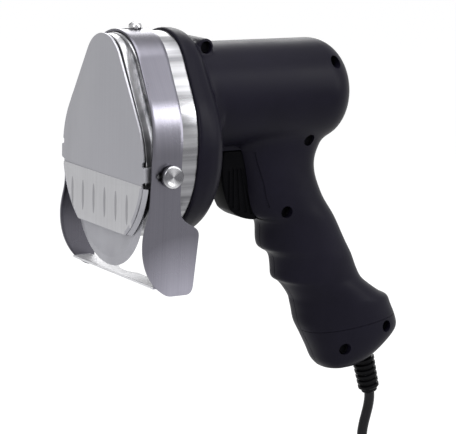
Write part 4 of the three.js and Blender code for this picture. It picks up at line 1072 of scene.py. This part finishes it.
def coil_tie(middle):
    """A flat tie drawn round the coil's turns."""
    low, high = 26.7 - CORD_D / 2 - 0.3, COIL_R + COIL_PITCH / 4 + CORD_D / 2 + 0.3
    half = COIL_PITCH / 2 + CORD_D / 2 + 0.3
    tilt = math.radians(14)
    loops = []
    for grow, wide in ((0, 3), (1.2, 3), (1.2, -3), (0, -3)):
        loop = []
        r = 2 + grow
        for corner, (cy, cz) in enumerate(((1, 1), (-1, 1), (-1, -1), (1, -1))):
            my, mz = cy * (half + grow - r), (high + low) / 2 + cz * ((high - low) / 2 + grow - r)
            for i in range(7):
                angle = math.radians(corner * 90 + 15 * i)
                y, v = my + r * math.cos(angle), mz + r * math.sin(angle)
                x = wide * math.cos(tilt) - v * math.sin(tilt)
                z = wide * math.sin(tilt) + v * math.cos(tilt)
                loop.append((middle[0] + x, y, middle[1] + z))
        loops.append(loop)
    band = lofted("coil_tie_band", loops + loops[:1], SOFT_BLACK, closed_ends=False)
    softened(band, 0.3, 2, 50)
    return hand_over(band, "housing", "dark_plastic", "coil_tie")


PIN_Y = 9.5


def plug(end):
    """A flat two-pin plug with finger grips, on the cord's far end."""
    top = end.z - 0.3
    rings = []
    table = [(0, 4.3, 4.3), (0.4, 4.6, 4.6), (4, 4.9, 4.8), (8, 5.2, 5), (11, 6.3, 5.5), (14, 8.8, 6),
             (17, 11.6, 6.3), (20, 13.8, 6.6), (24, 15, 6.65), (28, 15.8, 6.7), (32, 16.5, 6.75),
             (36, 17, 6.8), (39, 17, 6.8), (39.7, 16.6, 6.4), (40, 16, 5.8)]
    for down, wide, thick in table:
        ring = []
        for c, s in around(64):
            x = end.x + math.copysign(abs(s) ** 0.7, s) * thick
            y = end.y + math.copysign(abs(c) ** 0.7, c) * wide
            ring.append((x, y, top - down))
        rings.append(ring)
    shell = lofted("plug_shell", rings, SOFT_BLACK, 50)
    face = top - 40
    cuts = []
    for side in (-1, 1):
        socket = [(face - 1, 2.5), (face + 8.3, 2.5)]
        cuts.append(rod((end.x, end.y + side * PIN_Y, 0), (0, 0, 1), socket, 32))
        for i in range(5):
            z = top - 22 - i * 3
            cuts.append(rod((end.x + side * 7.4, end.y, z), (0, 1, 0), [(-11, 0.9), (11, 0.9)], 16))
    combine(shell, cuts)
    resmoothed(shell, 40)
    hand_over(shell, "housing", "dark_plastic", "plug_body")
    pieces = [shell]
    for name, side in (("plug_pin_left", -1), ("plug_pin_right", 1)):
        profile = [(0, 0.02), (0, 0.9), (0.4, 1.7), (1.2, 2.2), (27, 2.2)]
        rings = lathe(profile, (end.x, end.y + side * PIN_Y, face - 19), (0, 0, 1), 32)
        pin = lofted(name + "_turned", rings, BRASS, 40)
        pieces.append(hand_over(pin, "housing", "pin_brass", name))
    return pieces


def screw_heads():
    """A raised collar, open in the middle, in the bore over each countersunk screw, set out by a node
    tree.
    """
    mesh = bpy.data.meshes.new("screw_points")
    mesh.from_pydata([place(x, floor - 0.3 - 2.5, z) for _, x, z, floor, _ in SCREWS], [], [])
    points = added("screw_collars", mesh)
    bm = bmesh.new()
    profile = [(0, 2.1), (-0.35, 2.3), (-0.5, 2.6), (-0.35, 2.85), (0.3, 2.95), (0.3, 2.1), (0, 2.1)]
    rows = []
    for along, r in profile:
        rim = [(r * c / 1000, along / 1000, r * s / 1000) for c, s in around(32)]
        rows.append([bm.verts.new(p) for p in rim])
    band_faces(bm, rows)
    collar = mesh_object("collar", bm, PAINTED_SHADE_SCREW)
    tree, enter, sockets = layout_tree("screw_collars", {}, {"Collar": "Object", "Finish": "Material"})
    info = node(tree, "GeometryNodeObjectInfo")
    join(enter.outputs["Collar"], info.inputs["Object"])
    set_out(tree, enter, enter.outputs["Geometry"], info.outputs["Geometry"])
    grown = modify(points, "NODES", node_group=tree)
    grown[sockets["Collar"]] = collar
    # The collars take the near-black steel: painted shade in the bores.
    grown[sockets["Finish"]] = PAINTED_SHADE_SCREW
    baked(points)
    bpy.data.objects.remove(collar)
    resmoothed(points, 45)
    hand_over(points, "housing", "machined_steel")


INNER = {
    STEEL: ["gear_plate", "spindle_bearing_front", "spindle_bearing_rear", "idler_pin", "spindle_gear",
            "idler_gear", "motor_pinion", "spindle", "blade_nut", "motor_can", "motor_bearing_front",
            "motor_bearing_rear", "motor_shaft"],
    # The screws themselves are near black: painted shade at the bottom of their bores.
    PAINTED_SHADE_SCREW: [s[0] for s in SCREWS],
    COPPER: ["armature", "commutator"],
    CARBON: ["magnet_upper", "magnet_lower", "brush_left", "brush_right"],
    SOFT_BLACK: ["motor_end_bell", "cooling_fan", "switch"],
}


def inner_pieces():
    """Finishes of the pieces inside, which keep their solids."""
    for mat, names in INNER.items():
        for name in names:
            painted(nodes[name].data, mat)


def shown_rays(tree):
    """One for the rays that show the white background: seen, mirrored or seen through."""
    rays = node(tree, "ShaderNodeLightPath")
    seen = sums(tree, "MAXIMUM", rays.outputs["Is Camera Ray"], rays.outputs["Is Glossy Ray"])
    return sums(tree, "MAXIMUM", seen, rays.outputs["Is Transmission Ray"])


def mixed(tree, share, first, second, leave):
    """Two shaders mixed by a share and led to the tree's way out."""
    pick = node(tree, "ShaderNodeMixShader")
    join(share, pick.inputs["Fac"])
    join(first.outputs[0], pick.inputs[1])
    join(second.outputs[0], pick.inputs[2])
    join(pick.outputs["Shader"], node(tree, leave).inputs["Surface"])


FLOOR_GLOW = 1.12
FLOOR_GLOW_SHARE = 0.8
FLOOR_HALF = 14
FLOOR_DROP = 0.004


def studio():
    """A white sweep, soft boxes above and beside, and a pale floor."""
    world = bpy.data.worlds.new("studio")
    scene.world = world
    world.use_nodes = True
    tree = world.node_tree
    tree.nodes.clear()
    lit = node(tree, "ShaderNodeBackground", Color=(0.55, 0.55, 0.57, 1))
    white = node(tree, "ShaderNodeBackground", Color=(1, 1, 1, 1))
    mixed(tree, shown_rays(tree), lit, white, "ShaderNodeOutputWorld")

    floor_z = cad_box[0][2] - FLOOR_DROP
    bm = bmesh.new()
    level = Matrix.Translation((0, 0, floor_z))
    bmesh.ops.create_grid(bm, x_segments=1, y_segments=1, size=FLOOR_HALF, matrix=level)
    mesh = bpy.data.meshes.new("floor")
    bm.to_mesh(mesh)
    bm.free()
    floor = added("floor", mesh)
    mat = bpy.data.materials.new("pale_floor")
    mat.use_nodes = True
    tree = mat.node_tree
    tree.nodes.clear()
    matt = node(tree, "ShaderNodeBsdfDiffuse", Color=(0.9, 0.9, 0.9, 1))
    glow = node(tree, "ShaderNodeEmission", Strength=FLOOR_GLOW)
    share = sums(tree, "MULTIPLY", shown_rays(tree), FLOOR_GLOW_SHARE)
    mixed(tree, share, matt, glow, "ShaderNodeOutputMaterial")
    mesh.materials.append(mat)

    for name, spot, aim, size, power in (
        ("soft_box_left", (-1.5, -1.3, 1.2), (-0.06, 0, 0.03), 0.9, 26),
        ("soft_box_top", (0.1, -0.2, 1.7), (0, 0, 0.05), 1.2, 22),
        ("soft_box_right", (1.4, -1.3, 0.7), (0, 0, 0), 0.9, 14),
        ("soft_box_back", (0.7, 1.5, 1.0), (0, 0, 0.03), 1.0, 14),
        ("soft_box_strip", (0.648, -0.93, 1.01), (-0.12, -0.05, 0.08), 0.46, 9),
    ):
        light = bpy.data.lights.new(name, "AREA")
        light.size = size
        light.energy = power
        lamp = added(name, light)
        spot, aim = Vector(spot), Vector(aim)
        facing = (spot - aim).to_track_quat("Z", "Y").to_matrix().to_4x4()
        lamp.matrix_world = Matrix.Translation(spot) @ facing


camera()
lead, cord_length, cord_exit, cord_end, coil_middle = cord()
tie = coil_tie(coil_middle)
plug_pieces = plug(cord_end)
bodywork()
gear_head()
guard()
cover_plate()
blade()
knobs()
trigger()
strain_relief()
screw_heads()
inner_pieces()
studio()
scene.view_settings.view_transform = "Standard"
